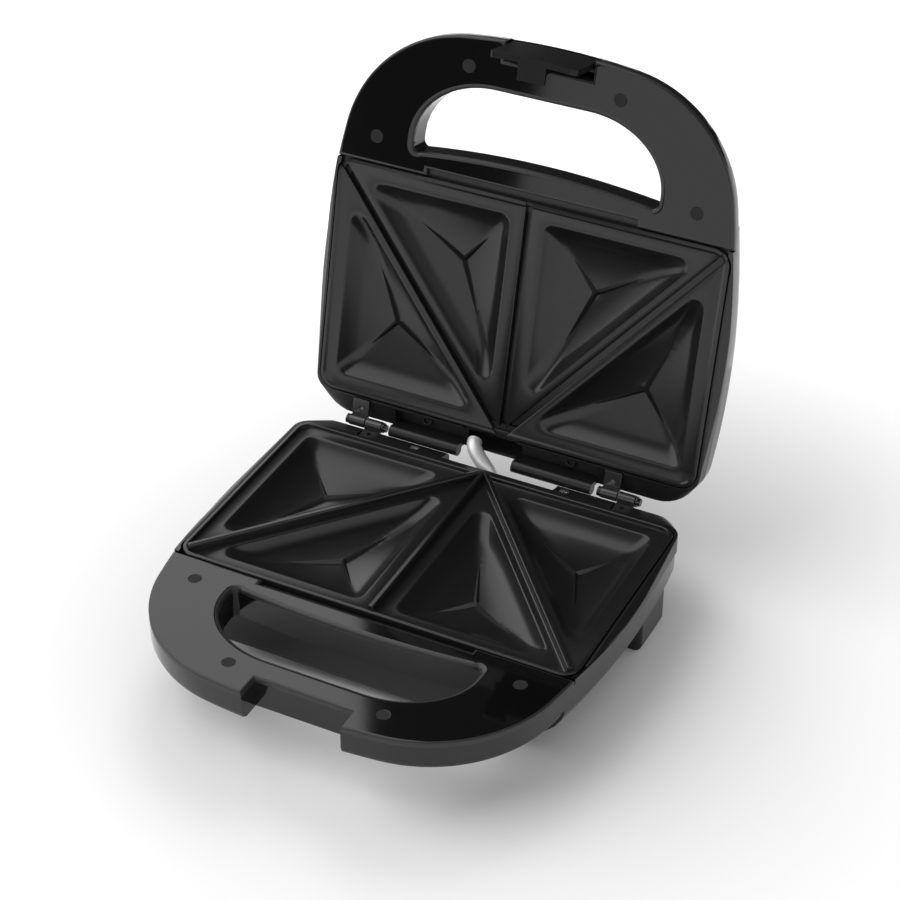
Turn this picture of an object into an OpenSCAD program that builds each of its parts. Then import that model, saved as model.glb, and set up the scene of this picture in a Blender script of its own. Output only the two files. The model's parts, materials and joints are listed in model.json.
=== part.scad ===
// Two-slice sandwich toaster, stored with its lid open.
// Both halves are drawn closed, about the parting plane z = 0, with y = 0 at
// the middle of the cooking plates and the hinge at +Y.  A half's own parts
// are drawn with +Z pointing outwards from the parting plane; the lower half
// is mirrored, and the lid is turned about the hinge pins to its open angle.

/* [Cooking plates] */
// Width of each cooking plate
plate_w = 220; // [206:1:232]
// Depth of each cooking plate, hinge side to handle side
plate_d = 130; // [122:1:138]
// Radius of the plates' corners
plate_corner = 9; // [6:0.5:12]
// Thickness of the cast plates
plate_wall = 2.6; // [2:0.1:3.2]
// Width of the raised rim round each plate
rim_w = 2.4; // [1.6:0.2:3.2]
// Height of the lower plate's rim over its flat land
lower_rim_h = 2.2; // [1.2:0.1:2.6]
// Height of the upper plate's rim over its flat land
upper_rim_h = 0.8; // [0.4:0.1:1.2]
// Distance from the parting plane to the bottom of each pocket
pocket_floor = 13; // [11:0.5:14]
// Flat land between a plate's edge and its pockets
pocket_land = 8.8; // [7.5:0.1:10]
// Flat land between a pocket and the line of its dividing rib
rib_land = 5.2; // [4.6:0.1:6.5]
// Radius of the pockets' corners
pocket_corner = 5.5; // [4:0.5:7]
// Width of the lower plate's dividing ribs
rib_w = 3; // [2.2:0.1:3.6]
// Height of the dividing ribs over the lower land
rib_h = 4.2; // [3.4:0.1:4.6]
// Clearance each side of a rib in the upper plate's groove
groove_gap = 0.8; // [0.5:0.1:1]

/* [Housings] */
// Gap between each half's inner face and the parting plane
part_gap = 0.3; // [0.2:0.05:0.5]
// Width of the housing outside the plate at its widest
rim_out = 5.4; // [4.8:0.1:7]
// Reach of the handle in front of the plates
handle_reach = 80; // [74:1:86]
// Distance from the plates' rear edge to the housings' rear edge
rear_reach = 12; // [11:0.5:13]
// Radius of the housings' rear corners
rear_corner = 22; // [16:1:26]
// Radius of the handles' two front corners
front_corner = 71; // [60:1:76]
// Radius of the handles' gently bowed front edge
front_bow = 392; // [300:4:480]
// Radius of the housings' gently bowed sides
side_bow = 445; // [380:5:600]
// Wall of the moulded housings
shell_wall = 2.5; // [2:0.1:3]
// Depth of the lower housing below the parting plane
lower_depth = 42; // [39:0.5:46]
// Height of the upper housing above the parting plane
upper_depth = 38; // [37:0.5:44]
// Thickness of the lower half of the handle
lower_handle_t = 18; // [16:0.5:20]
// Thickness of the upper half of the handle
upper_handle_t = 16; // [15:0.5:20]
// Thickness of the glossy handle covers
cover_t = 3; // [2.4:0.1:3.4]
// Drop of the seam between housing and frame from the handle to the rear
seam_drop = 12.2; // [10:0.2:13]
// Clearance round each plate in its frame
plate_gap = 0.8; // [0.5:0.1:1.2]

/* [Handle opening] */
// Width of the finger opening
opening_w = 138; // [124:1:142]
// Depth of the finger opening
opening_d = 41.5; // [34:0.5:43]
// Distance from the front tip of the handle to the opening
grip_d = 27; // [25:0.5:32]
// Width of the drip slot behind the handle cover
slot_w = 118; // [100:1:124]
// Depth of the drip slot
slot_d = 4.5; // [3:0.5:5]

/* [Latch] */
// Width of the latch notch in the lower handle
notch_w = 53; // [46:1:58]
// Depth of the latch notch in the lower handle
notch_d = 13.5; // [12:0.5:14]
// Side clearance of the latch in its notch
latch_side_gap = 2.5; // [1:0.1:3]
// Offset of the latch from the middle
latch_shift = 1.3; // [0:0.1:3]
// Thickness of the latch clip's face
latch_t = 3; // [2.4:0.1:3.4]
// Radius of the latch pin
latch_pin_r = 1.25; // [1:0.05:1.5]
// Clearance between the latch's tooth and the notch while the lid swings
latch_clear = 0.4; // [0.3:0.05:0.6]

/* [Hinge] */
// Angle that the lid opens to
open_angle = 103.5; // [95:0.5:106]
// Distance from the plates' rear edge to the hinge axis
hinge_back = 13.5; // [13:0.1:14.5]
// Drop of the hinge axis below the parting plane
hinge_drop = 1.6; // [1:0.1:2]
// Distance between the two hinges
hinge_span = 149; // [130:1:152]
// Offset of the pair of hinges from the middle
hinge_shift = -3.5; // [-5:0.5:0]
// Length of each hinge knuckle
knuckle_l = 9.8; // [8:0.1:11]
// Outer radius of the hinge knuckles
knuckle_r = 3; // [2.8:0.1:3.2]
// Radius of the hinge pins
hinge_pin_r = 1.6; // [1.3:0.05:1.8]
// Thickness of the steel hinge straps
strap_t = 1.6; // [1.2:0.1:1.8]

/* [Inside] */
// Radius of the tubular heating elements
heater_r = 3.2; // [2.6:0.1:3.4]
// Distance from the parting plane to the reflector pans' floor
pan_floor = 24; // [23.5:0.1:25]
// Thickness of the steel reflector pans
pan_t = 0.8; // [0.6:0.1:1]
// Radius of the flexible conduit between the halves
conduit_r = 4; // [3.4:0.1:4.2]

/* [Feet] */
// Height of the moulded feet below the lower housing
foot_h = 6; // [4:0.5:9]
// Thickness of the rubber pads
pad_t = 2; // [1.2:0.1:3]

/* [Hidden] */

// Small overlap that keeps cuts clean
eps = 0.01;
// A length that reaches past every part
far = 400;
// Clearance between loosely fitted pieces of one half
fit_gap = 0.2;
// Running clearance of the two kinds of pin in their bores
pin_gap = 0.05;

// Plan positions shared by both halves
front_y = -plate_d / 2;
rear_y = plate_d / 2 + rear_reach;
tip_y = front_y - handle_reach;
half_w = plate_w / 2 + rim_out;
side_mid_y = -3;
body_front = 9;
lower_front_steep = 0.08;
upper_front_steep = 0.42;
body_front_y = front_y - body_front;
hinge_y = plate_d / 2 + hinge_back;
hinge_z = -hinge_drop;

// Centres of the three arcs of the outline: the corner arc touches both others
bow_c = [0, tip_y + front_bow];
side_c = [half_w - side_bow, side_mid_y];
bow_in = front_bow - front_corner;
side_in = side_bow - front_corner;
gap_v = side_c - bow_c;
gap_l = norm(gap_v);
along = (bow_in * bow_in - side_in * side_in + gap_l * gap_l) / (2 * gap_l);
across = sqrt(bow_in * bow_in - along * along);
corner_c = bow_c + along * gap_v / gap_l + across * [-gap_v[1], gap_v[0]] / gap_l;
bow_dir = (corner_c - bow_c) / norm(corner_c - bow_c);
side_dir = (corner_c - side_c) / norm(corner_c - side_c);

// Centre of the rear corner: it touches the side arc and the straight rear edge
rear_c_y = rear_y - rear_corner;
rear_c = [side_c[0] + sqrt(pow(side_bow - rear_corner, 2) - pow(rear_c_y - side_mid_y, 2)), rear_c_y];
rear_dir = (rear_c - side_c) / norm(rear_c - side_c);

// Finger opening, its rear corners and the bowed rear edge
opening_front_y = tip_y + grip_d;
opening_rear_y = opening_front_y + opening_d;
opening_bow = 4.5;
opening_corner = 4;
opening_nose = 43;
opening_bow_r = (opening_w * opening_w / 4 + opening_bow * opening_bow) / (2 * opening_bow);

// Seam between housing and frame, as a rising plane
seam_slope = atan(seam_drop / (rear_y - front_y));
function seam_at(y) = part_gap + (y - front_y) * tan(seam_slope);

// Plate levels, outwards from the parting plane
rim_top = part_gap;
lower_land = rim_top + lower_rim_h;
upper_land = rim_top + upper_rim_h;
rib_top = rib_h - lower_land;
groove_floor = rib_top + groove_gap;
deep_groove = 4.6;
frame_top = part_gap + 0.9;
frame_slope = 2.6;
ledge_w = 6.2;
basin_floor = pocket_floor + plate_wall;
heater_z = basin_floor + heater_r;

// The four pockets' right-angled corners and leg directions
pocket_dx = plate_w / 2 - 2 * pocket_land;
pocket_dy = plate_d - 2 * pocket_land;
diagonal_l = norm([plate_w / 2, plate_d]);

// Where the plate is screwed to the reflector pan
boss_r = 3.6;
screw_r = 1.5;
screw_head_r = 3;
screw_head_h = 1.8;
boss_spots = [[-94.5, -50.5], [94.5, -50.5], [0, 49], [0, -26]];
case_spots = [[-52, 2], [52, 2], [-52, 40], [52, 40]];
case_seat = pan_floor + pan_t + 2.2;
cover_spots = [[-89.3, -80.3], [89.3, -80.3], [-41.5, -127.7], [41.5, -127.7]];
plug_r = 3.3;
plug_t = 1;
clamp_spots = [[-80, 0], [80, 0], [-40, -42], [40, -42]];

// Hinges: each has the lid's knuckle on its -X side and the base's on its +X side
hinge_spots = [hinge_shift - hinge_span / 2, hinge_shift + hinge_span / 2];
knuckle_gap = 0.3;
pin_head_l = 1.6;
axis_room = knuckle_r + 0.9;
spine_r = 3.4;
spine_from = hinge_spots[0] + knuckle_l + 5.2;
spine_to = hinge_spots[1] - knuckle_l - 5.2;
tube_from = -22;
tube_to = 10;
tube_room = 14;
recess_from = -27;
recess_to = 38;
recess_y = plate_d / 2 + 3;
well_z = 9.4;
ring_x = [-46.5, 38.5];
frame_screw_x = [-45, 43];
frame_screw_y = rear_y - 5.8;

// Conduit between the halves: where it starts, turns and ends
conduit_x = 2;
conduit_z = -18;
conduit_low = [conduit_x, plate_d / 2 - 4, conduit_z];
conduit_turn = [0, hinge_y - 6, hinge_z - 6];
conduit_top = [-13.6, hinge_y + 2.5, hinge_z + 7];

// Electrical pieces
gland_x = 62;
gland_z = -18;
gland_r = 4.6;
cord_r = 3.2;
wire_r = 1.1;
ends_y = plate_d / 2 - 4.6;
block_h = 11;

// Latch
latch_w = notch_w - 2 * latch_side_gap;
latch_y = tip_y + 7;
latch_z = 7.5;
latch_barrel_r = 2.9;
latch_front_d = 10.6;
latch_hook_z = -(lower_handle_t + 0.9);
latch_hook_t = 1.8;
latch_hook_w = 15;
latch_face_in = 1.2;
latch_end_r = 3.5;
latch_room = 0.4;

// Indicator lenses on the lid
lens_x = [-9, 9];
lens_y = 12;
lens_r = 3.2;
lens_lip = 0.8;
board_drop = 6.4;

// Levels of the two tubs: height at the front and at the rear, inset, and how level the wall lies
lower_levels = [[16.5, 22, 0, 0], [20, 25, 1.2, 0.4], [26, 30, 5, 0.7], [33, 35, 12, 0.8],
  [lower_depth - 3, lower_depth - 3, 22, 0.95], [lower_depth, lower_depth, 33, 1]];
upper_front_z = 31;
upper_levels = [[8, 21, 0, 0], [14, 26, 1.4, 0.3], [22, 31, 4, 0.5], [28, 35.5, 8, 0.8],
  [upper_front_z, upper_depth, 14, 1]];
top_tilt = atan((upper_depth - upper_front_z) / plate_d);

// Standing height: the parting plane over the table
foot_r = 8;
front_feet = [[-82, -46], [82, -46]];
rear_foot_x = [94, 109.5];
rear_foot_y = [21, 54.5];
stand_z = lower_depth + foot_h + pad_t;

// The notch's front corners and the open lid's front edge set the middle of the whole object
bow_rise = front_bow - sqrt(front_bow * front_bow - notch_w * notch_w / 4);
upper_edge_r = 8;
lower_edge_r = 4.5;
lid_edge = [tip_y + 0.9 * upper_edge_r, upper_handle_t];
open_back_y = hinge_y + (lid_edge[0] - hinge_y) * cos(open_angle) + (lid_edge[1] - hinge_z) * sin(open_angle);
mid_y = (tip_y + bow_rise + open_back_y) / 2;

module stand() {
  translate([0, -mid_y, stand_z]) children();
}

module low() {
  stand() mirror([0, 0, 1]) children();
}

module lid() {
  stand() translate([0, hinge_y, hinge_z]) rotate([-open_angle, 0, 0])
    translate([0, -hinge_y, -hinge_z]) children();
}

// ---- plan outlines -------------------------------------------------------

// Points of an arc about a centre, both ends included
function arc(centre, r, from_a, to_a, steps) =
  [for (i = [0:steps]) let(a = from_a + (to_a - from_a) * i / steps) centre + r * [cos(a), sin(a)]];
function angle_of(v) = atan2(v[1], v[0]);

// Right half of the outline from the front tip to the rear edge: four tangent arcs
function half_outline(inset) = concat(
  arc(bow_c, front_bow - inset, -90, angle_of(bow_dir), 10),
  [for (i = [1:18]) corner_c + (front_corner - inset) * turn(bow_dir, side_dir, i / 18)],
  [for (i = [1:12]) side_c + (side_bow - inset) * turn(side_dir, rear_dir, i / 12)],
  [for (i = [1:8]) rear_c + (rear_corner - inset) * turn(rear_dir, [0, 1], i / 8)]);
function turn(from_v, to_v, t) = let(a = angle_of(from_v) + (angle_of(to_v) - angle_of(from_v)) * t) [cos(a), sin(a)];

// Outline of both housings: three kinds of arc and a straight rear edge
module outline(inset = 0) {
  right = half_outline(inset);
  left = [for (i = [len(right) - 1:-1:1]) [-right[i][0], right[i][1]]];
  polygon(concat(right, left));
}

// The part of the outline that holds the plates, with its front edge drawn back on its own
module body_outline(inset = 0, back = 0) {
  intersection() {
    outline(inset);
    translate([-far, body_front_y + back]) square([2 * far, far]);
  }
}

module rounded(w, d, r) {
  union() {
    square([w - 2 * r, d], center = true);
    square([w, d - 2 * r], center = true);
    for (x = [-1, 1]) for (y = [-1, 1])
      translate([x * (w / 2 - r), y * (d / 2 - r)]) circle(r = r, $fn = 48);
  }
}

// Finger opening: elliptical nose at each side, straight front, bowed rear
module opening(grow = 0) {
  front = opening_front_y - grow;
  side = opening_w / 2 + grow;
  nose = opening_nose;
  nose_d = opening_rear_y - opening_front_y - opening_corner - 3;
  steps = 10;
  right = [for (i = [0:steps]) [side - nose + nose * sin(90 * i / steps),
    front + nose_d - nose_d * cos(90 * i / steps)]];
  difference() {
    union() {
      polygon(concat([for (i = [0:steps]) [-right[steps - i][0], right[steps - i][1]]], right));
      translate([-side, front + nose_d - eps])
        square([2 * side, opening_rear_y + grow - opening_corner - front - nose_d + eps]);
      translate([-side + opening_corner, front + nose_d])
        square([2 * (side - opening_corner), opening_rear_y + grow - front - nose_d]);
      for (x = [-1, 1]) translate([x * (side - opening_corner), opening_rear_y + grow - opening_corner])
        circle(r = opening_corner, $fn = 32);
    }
    translate([0, opening_rear_y + grow + opening_bow_r - opening_bow]) circle(r = opening_bow_r, $fn = 240);
  }
}

// Right-angled pocket with its corner at the origin and its legs along +X and +Y
module pocket_shape(leg_x, leg_y) {
  offset(r = pocket_corner, $fn = 24) offset(delta = -pocket_corner)
    polygon([[0, 0], [leg_x, 0], [0, leg_y]]);
}

// ---- parts that both halves share ------------------------------------------

// One pocket as a solid: steep at its edge and shallow towards its lowest point
module pocket_solid(land, grow) {
  depth = pocket_floor - land;
  steep = 0.62;
  narrow = 0.7;
  leg_x = pocket_leg(plate_w / 2, plate_d);
  leg_y = leg_x * plate_d / (plate_w / 2);
  centre = [leg_x / 3, leg_y / 3];
  wide = 1 + grow * 3 / leg_x;
  translate([centre[0], centre[1], land - eps]) {
    linear_extrude(height = depth * steep + grow, scale = narrow)
      scale([wide, wide]) translate(-centre) pocket_shape(leg_x, leg_y);
    translate([0, 0, depth * steep + grow - eps])
      linear_extrude(height = depth * (1 - steep) + eps, scale = 0.06 + grow / 60)
        scale([narrow * wide, narrow * wide]) translate(-centre) pocket_shape(leg_x, leg_y);
  }
}

// Leg of a pocket along the plate's width, from the lands round it
function pocket_leg(w, d) = w - pocket_land * (1 + w / d) - rib_land * diagonal_l / d;

module four_pockets(land, grow) {
  for (x = [-1, 1]) scale([x, 1, 1]) {
    translate([pocket_land, front_y + pocket_land, 0]) pocket_solid(land, grow);
    translate([plate_w / 2 - pocket_land, -front_y - pocket_land, 0]) rotate([0, 0, 180])
      pocket_solid(land, grow);
  }
}

// The three lines that divide a plate: a fan from the middle of its rear edge, past the plate's edges
module fan(width, from_z, to_z) {
  corner_a = atan2(plate_d, plate_w / 2);
  translate([0, 0, from_z]) linear_extrude(to_z - from_z) union() {
    for (a = [-90, -corner_a, corner_a - 180])
      translate([0, plate_d / 2]) rotate(a) translate([-2, -width / 2])
        square([(a == -90 ? plate_d : diagonal_l) + 4, width]);
  }
}

// Keeps what lies inside a plate's outline, drawn in by an inset
module within_plate(inset) {
  intersection() {
    children();
    translate([0, 0, -far]) linear_extrude(2 * far)
      rounded(plate_w - 2 * inset, plate_d - 2 * inset, max(plate_corner - inset, 3));
  }
}

// A cast cooking plate with a rim, a flat land and four thin-walled pockets; children add to its back
module plate_casting(land) {
  difference() {
    union() {
      children();
      translate([0, 0, rim_top]) linear_extrude(land + plate_wall - rim_top)
        rounded(plate_w, plate_d, plate_corner);
      four_pockets(land, plate_wall);
      for (p = boss_spots) translate([p[0], p[1], land]) cylinder(r = boss_r, h = pan_floor - land, $fn = 32);
      for (p = clamp_spots) translate([p[0], p[1], land]) cylinder(r = 6, h = basin_floor - land, $fn = 32);
    }
    translate([0, 0, -eps]) linear_extrude(land + eps)
      rounded(plate_w - 2 * rim_w, plate_d - 2 * rim_w, plate_corner - rim_w);
    four_pockets(land, 0);
    for (p = boss_spots) translate([p[0], p[1], pan_floor - 9])
      cylinder(r = screw_r, h = 10, $fn = 24);
  }
}

// Points of a round-cornered path and the ring frames that a tube needs
function unit(v) = v / norm(v);
function path_dir(p, i) = unit(p[min(i + 1, len(p) - 1)] - p[max(i - 1, 0)]);
function side_of(t) = unit(cross(t, abs(t[2]) < 0.9 ? [0, 0, 1] : [0, 1, 0]));
function ring(p, i, r, sides) = let(t = path_dir(p, i), s = side_of(t), u = cross(s, t))
  [for (k = [0:sides - 1]) p[i] + r * (cos(360 * k / sides) * s + sin(360 * k / sides) * u)];

// A round bar that follows a list of points
module bar_along(p, r, sides = 10) {
  n = len(p);
  points = [for (i = [0:n - 1]) each ring(p, i, r, sides)];
  walls = [for (i = [0:n - 2]) for (k = [0:sides - 1]) let(m = (k + 1) % sides)
    [i * sides + k, i * sides + m, (i + 1) * sides + m, (i + 1) * sides + k]];
  polyhedron(points, concat(walls, [[for (k = [0:sides - 1]) sides - 1 - k]],
    [[for (k = [0:sides - 1]) (n - 1) * sides + k]]), convexity = 6);
}

function arc_points(centre, r, from_a, to_a, z, steps) =
  [for (i = [0:steps]) let(a = from_a + (to_a - from_a) * i / steps)
    [centre[0] + r * cos(a), centre[1] + r * sin(a), z]];

// A tubular element: a loop with round corners and two legs to the rear
module heater() {
  x = 80;
  y = 42;
  r = 14;
  leg_x = 15;
  leg_y = 54;
  bend = 8;
  path = concat([[leg_x, leg_y, heater_z], [leg_x, leg_y - 2, heater_z]],
    arc_points([leg_x + bend, y + bend], bend, 180, 270, heater_z, 4),
    arc_points([x - r, y - r], r, 90, 0, heater_z, 6),
    arc_points([x - r, r - y], r, 0, -90, heater_z, 6),
    arc_points([r - x, r - y], r, -90, -180, heater_z, 6),
    arc_points([r - x, y - r], r, 180, 90, heater_z, 6),
    arc_points([-leg_x - bend, y + bend], bend, 270, 360, heater_z, 4),
    [[-leg_x, leg_y - 2, heater_z], [-leg_x, leg_y, heater_z]]);
  bar_along(path, heater_r);
  for (s = [-1, 1]) translate([s * leg_x, leg_y, heater_z]) rotate([-90, 0, 0])
    cylinder(r = 1.2, h = 5, $fn = 24);
}

// Steel straps that hold the element up against the plate's pads
module clamps() {
  for (p = clamp_spots) translate([p[0], p[1], 0]) rotate([0, 0, abs(p[0]) > 60 ? 0 : 90]) difference() {
    translate([-8, -3.5, basin_floor]) cube([16, 7, 2 * heater_r + pan_t]);
    translate([0, 0, heater_z]) rotate([90, 0, 0]) cylinder(r = heater_r + 0.05, h = 8, center = true, $fn = 32);
    translate([-heater_r - 0.05, -4, basin_floor - eps]) cube([2 * heater_r + 0.1, 8, heater_r]);
    for (s = [-1, 1]) translate([s < 0 ? -9 : heater_r + 1, -4, basin_floor + pan_t]) cube([8 - heater_r, 8, 9]);
  }
}

// A reflector pan with turned-up sides
module pan(land) {
  w = plate_w - 20;
  d = plate_d - 16;
  top = land + 7;
  difference() {
    translate([0, 0, top]) linear_extrude(pan_floor + pan_t - top) rounded(w, d, 8);
    translate([0, 0, top - eps]) linear_extrude(pan_floor - top + eps) rounded(w - 2 * pan_t, d - 2 * pan_t, 8 - pan_t);
    for (p = boss_spots) translate([p[0], p[1], pan_floor - 1]) cylinder(r = screw_r + fit_gap, h = 4, $fn = 24);
    for (p = case_spots) translate([p[0], p[1], pan_floor - 1]) cylinder(r = screw_r, h = 4, $fn = 24);
    for (s = [-1, 1]) translate([s * 15, plate_d / 2, heater_z]) rotate([90, 0, 0])
      cylinder(r = heater_r + 1, h = 30, $fn = 32);
  }
}

// A pan-head screw with its head at z = 0 and its shank along +Z
module screw(length, r = screw_r, head_r = screw_head_r, head_h = screw_head_h) {
  difference() {
    union() {
      translate([0, 0, -head_h]) cylinder(r = head_r, h = head_h, $fn = 32);
      cylinder(r = r - 0.1, h = length, $fn = 24);
    }
    for (a = [0, 90]) translate([0, 0, -head_h]) rotate([0, 0, a]) cube([head_r * 1.2, 0.7, 1.4], center = true);
  }
}

module plate_screws() {
  for (p = boss_spots) translate([p[0], p[1], pan_floor + pan_t]) mirror([0, 0, 1]) screw(8);
}

module cover_screws(depth) {
  for (p = cover_spots) translate([p[0], p[1], part_gap + plug_t + screw_head_h])
    screw(depth - part_gap - 8, head_r = plug_r - 0.3);
}

module screw_plugs() {
  for (p = cover_spots) translate([p[0], p[1], part_gap]) cylinder(r = plug_r, h = plug_t, $fn = 40);
}

module case_screws() {
  for (p = case_spots) translate([p[0], p[1], case_seat]) mirror([0, 0, 1]) screw(case_seat - pan_floor + 2);
}

// The glossy cover on a handle's inner face
module handle_cover(with_notch) {
  difference() {
    translate([0, 0, part_gap]) linear_extrude(cover_t) difference() {
      intersection() {
        outline();
        translate([-far, -2 * far]) square([2 * far, 2 * far + front_y - plate_gap]);
      }
      opening();
      if (with_notch) square_notch(notch_w, notch_d);
      else square_notch(latch_w + 2 * latch_room, latch_front_d + latch_room);
      translate([-slot_w / 2, front_y - slot_d]) square([slot_w, slot_d + 1]);
    }
    for (p = cover_spots) translate([p[0], p[1], part_gap - 1]) {
      cylinder(r = plug_r, h = 1 + plug_t + screw_head_h, $fn = 40);
      cylinder(r = screw_r + 0.1, h = cover_t + 2, $fn = 24);
    }
  }
}

module square_notch(w, d) {
  translate([latch_shift - w / 2, tip_y - 5]) square([w, d + 5]);
}

// The plane that the seam lies in; the frame keeps what is nearer the plates
module below_seam() {
  translate([-far, front_y, part_gap]) rotate([seam_slope, 0, 0])
    translate([0, -10, -far]) cube([2 * far, far, far]);
}

// The satin frame round a plate: a tapering outer band, a skirt and a ledge
module frame_ring(land) {
  skirt = 9;
  ledge = land + plate_wall + 0.1;
  difference() {
    union() {
      intersection() {
        hull() {
          translate([0, 0, frame_top]) linear_extrude(seam_drop + 2) rounded(plate_w + 4, plate_d + 4, plate_corner);
          translate([0, 0, frame_top + frame_slope]) linear_extrude(seam_drop + 2) body_outline();
        }
        translate([0, 0, -0.1]) below_seam();
        translate([-far, front_y, -far]) cube(2 * far);
      }
      translate([0, 0, part_gap + cover_t + 0.2]) linear_extrude(ledge + 2.2 - part_gap - cover_t)
        body_outline(shell_wall + fit_gap, shell_wall + fit_gap);
    }
    translate([0, 0, -far]) linear_extrude(far + ledge)
      rounded(plate_w + 2 * plate_gap, plate_d + 2 * plate_gap, plate_corner + plate_gap);
    translate([0, 0, -far]) linear_extrude(2 * far)
      rounded(plate_w - 2 * ledge_w + 0.4, plate_d - 2 * ledge_w + 0.4, 3);
    for (p = boss_spots) translate([p[0], p[1], 0]) cylinder(r = boss_r + 1, h = 30, $fn = 32);
  }
}

// Height of a tub's outer floor at y
function top_at(levels, y) = let(v = levels[len(levels) - 1]) v[0] + (v[1] - v[0]) * (y - front_y) / plate_d;

// One level of a tub: the outline drawn in, at a height that rises towards the rear
module level(front_z, rear_z, inset, back) {
  translate([0, front_y, front_z]) rotate([atan((rear_z - front_z) / plate_d), 0, 0])
    translate([0, -front_y, -eps]) linear_extrude(eps) body_outline(inset, back);
}

// A tub with upright sides that round in to its floor, from a list of levels
module tub(levels, wall, steep) {
  hull() {
    translate([0, 0, -wall]) linear_extrude(eps) body_outline(wall, wall);
    for (v = levels)
      level(v[0] - wall * v[3], v[1] - wall * v[3], v[2] + wall * (1 - v[3] * 0.4), v[2] * steep + wall);
  }
}

// A moulded housing: a tub behind the plates and a hollow half handle
module housing(depth, levels, steep, handle_t, edge_r, notch_half, notch_depth, notch_top) {
  difference() {
    union() {
      difference() {
        union() {
          tub(levels, 0, steep);
          hull() {
            linear_extrude(handle_t - edge_r) handle_outline(0);
            translate([0, 0, handle_t - edge_r * 0.45]) linear_extrude(eps) handle_outline(edge_r * 0.2);
            translate([0, 0, handle_t - eps]) linear_extrude(eps) handle_outline(edge_r * 0.9);
          }
        }
        tub(levels, shell_wall, steep);
        translate([0, 0, -eps]) linear_extrude(handle_t - shell_wall) difference() {
          intersection() {
            outline(shell_wall + edge_r * 0.45);
            translate([-far, -2 * far]) square([2 * far, 2 * far + body_front_y - 0.2]);
          }
          opening(shell_wall);
          square_notch(notch_half * 2 + 2 * shell_wall, notch_depth + shell_wall);
        }
      }
      for (p = cover_spots) translate([p[0], p[1], part_gap + cover_t])
        cylinder(r = 3.6, h = handle_t - part_gap - cover_t - 1, $fn = 32);
      for (p = case_spots) translate([p[0], p[1], pan_floor + pan_t])
        cylinder(r = 4.4, h = top_at(levels, p[1]) - pan_floor - pan_t - 1, $fn = 32);
    }
    // room for the cover and the frame on the inner face
    translate([-far, -2 * far, -far]) cube([2 * far, 2 * far + front_y, far + part_gap + cover_t]);
    below_seam();
    translate([0, 0, -1]) linear_extrude(8)
      rounded(plate_w + 2 * plate_gap + 0.4, plate_d + 2 * plate_gap + 0.4, plate_corner + plate_gap);
    translate([0, 0, -1]) linear_extrude(handle_t + depth) opening();
    translate([0, 0, -1]) linear_extrude(notch_top + 1) square_notch(notch_half * 2, notch_depth);
    for (p = cover_spots) translate([p[0], p[1], 0]) cylinder(r = screw_r - 0.1, h = handle_t - 2, $fn = 24);
    for (p = case_spots) translate([p[0], p[1], 0]) {
      cylinder(r = screw_r, h = depth + 1, $fn = 24);
      translate([0, 0, case_seat]) cylinder(r = screw_head_r + 0.5, h = depth, $fn = 32);
    }
  }
}

module handle_outline(inset) {
  intersection() {
    outline(inset);
    translate([-far, -2 * far]) square([2 * far, 2 * far + body_front_y + 14]);
  }
}

// Room round the hinge axis, cut from everything that the pins pass
module axis_cut(r, from_x, to_x) {
  translate([from_x, hinge_y, hinge_z]) rotate([0, 90, 0]) cylinder(r = r, h = to_x - from_x, $fn = 64);
}

// Steel strap with one knuckle, drawn with its knuckle along +X from the origin
module strap(side) {
  reach = hinge_y - plate_d / 2 - 1.4;
  flat = side > 0 ? knuckle_r - strap_t : -knuckle_r;
  leg = 9;
  difference() {
    union() {
      rotate([0, 90, 0]) cylinder(r = knuckle_r, h = knuckle_l - knuckle_gap, $fn = 48);
      translate([0, -reach, flat]) cube([knuckle_l - knuckle_gap, reach, strap_t]);
      translate([0, -reach, side > 0 ? flat : flat - leg + strap_t]) cube([knuckle_l - knuckle_gap, strap_t, leg]);
    }
    rotate([0, 90, 0]) translate([0, 0, -1]) cylinder(r = hinge_pin_r + pin_gap, h = knuckle_l + 2, $fn = 48);
    translate([knuckle_l / 2, -6.5, flat - 1]) cylinder(r = screw_r - 0.1, h = strap_t + 2, $fn = 24);
  }
}

module straps(side) {
  for (x = hinge_spots) translate([side > 0 ? x - knuckle_l : x + knuckle_gap, hinge_y, hinge_z]) strap(side);
}

// Room for the straps in a frame
module strap_room(side) {
  reach = hinge_y - plate_d / 2 - 1.4;
  for (x = hinge_spots) translate([side > 0 ? x - knuckle_l : x + knuckle_gap, hinge_y, hinge_z]) {
    translate([-fit_gap, -reach - fit_gap, side > 0 ? -8 : -knuckle_r])
      cube([knuckle_l + fit_gap, reach + 6, 8 + knuckle_r]);
    translate([-fit_gap, -reach - fit_gap, side > 0 ? -knuckle_r : -knuckle_r - 9])
      cube([knuckle_l + fit_gap, strap_t + 2 * fit_gap, 12 + strap_t]);
    translate([knuckle_l / 2, -6.5, side > 0 ? 0 : -30]) cylinder(r = screw_r, h = 30, $fn = 24);
  }
}

// Plan of a rear foot on the side s
module rear_foot(s, inset) {
  translate([s * (rear_foot_x[0] + rear_foot_x[1]) / 2, (rear_foot_y[0] + rear_foot_y[1]) / 2])
    rounded(rear_foot_x[1] - rear_foot_x[0] - 2 * inset, rear_foot_y[1] - rear_foot_y[0] - 2 * inset, 4 - inset);
}

// ---- the lower half ----------------------------------------------------------

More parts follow.
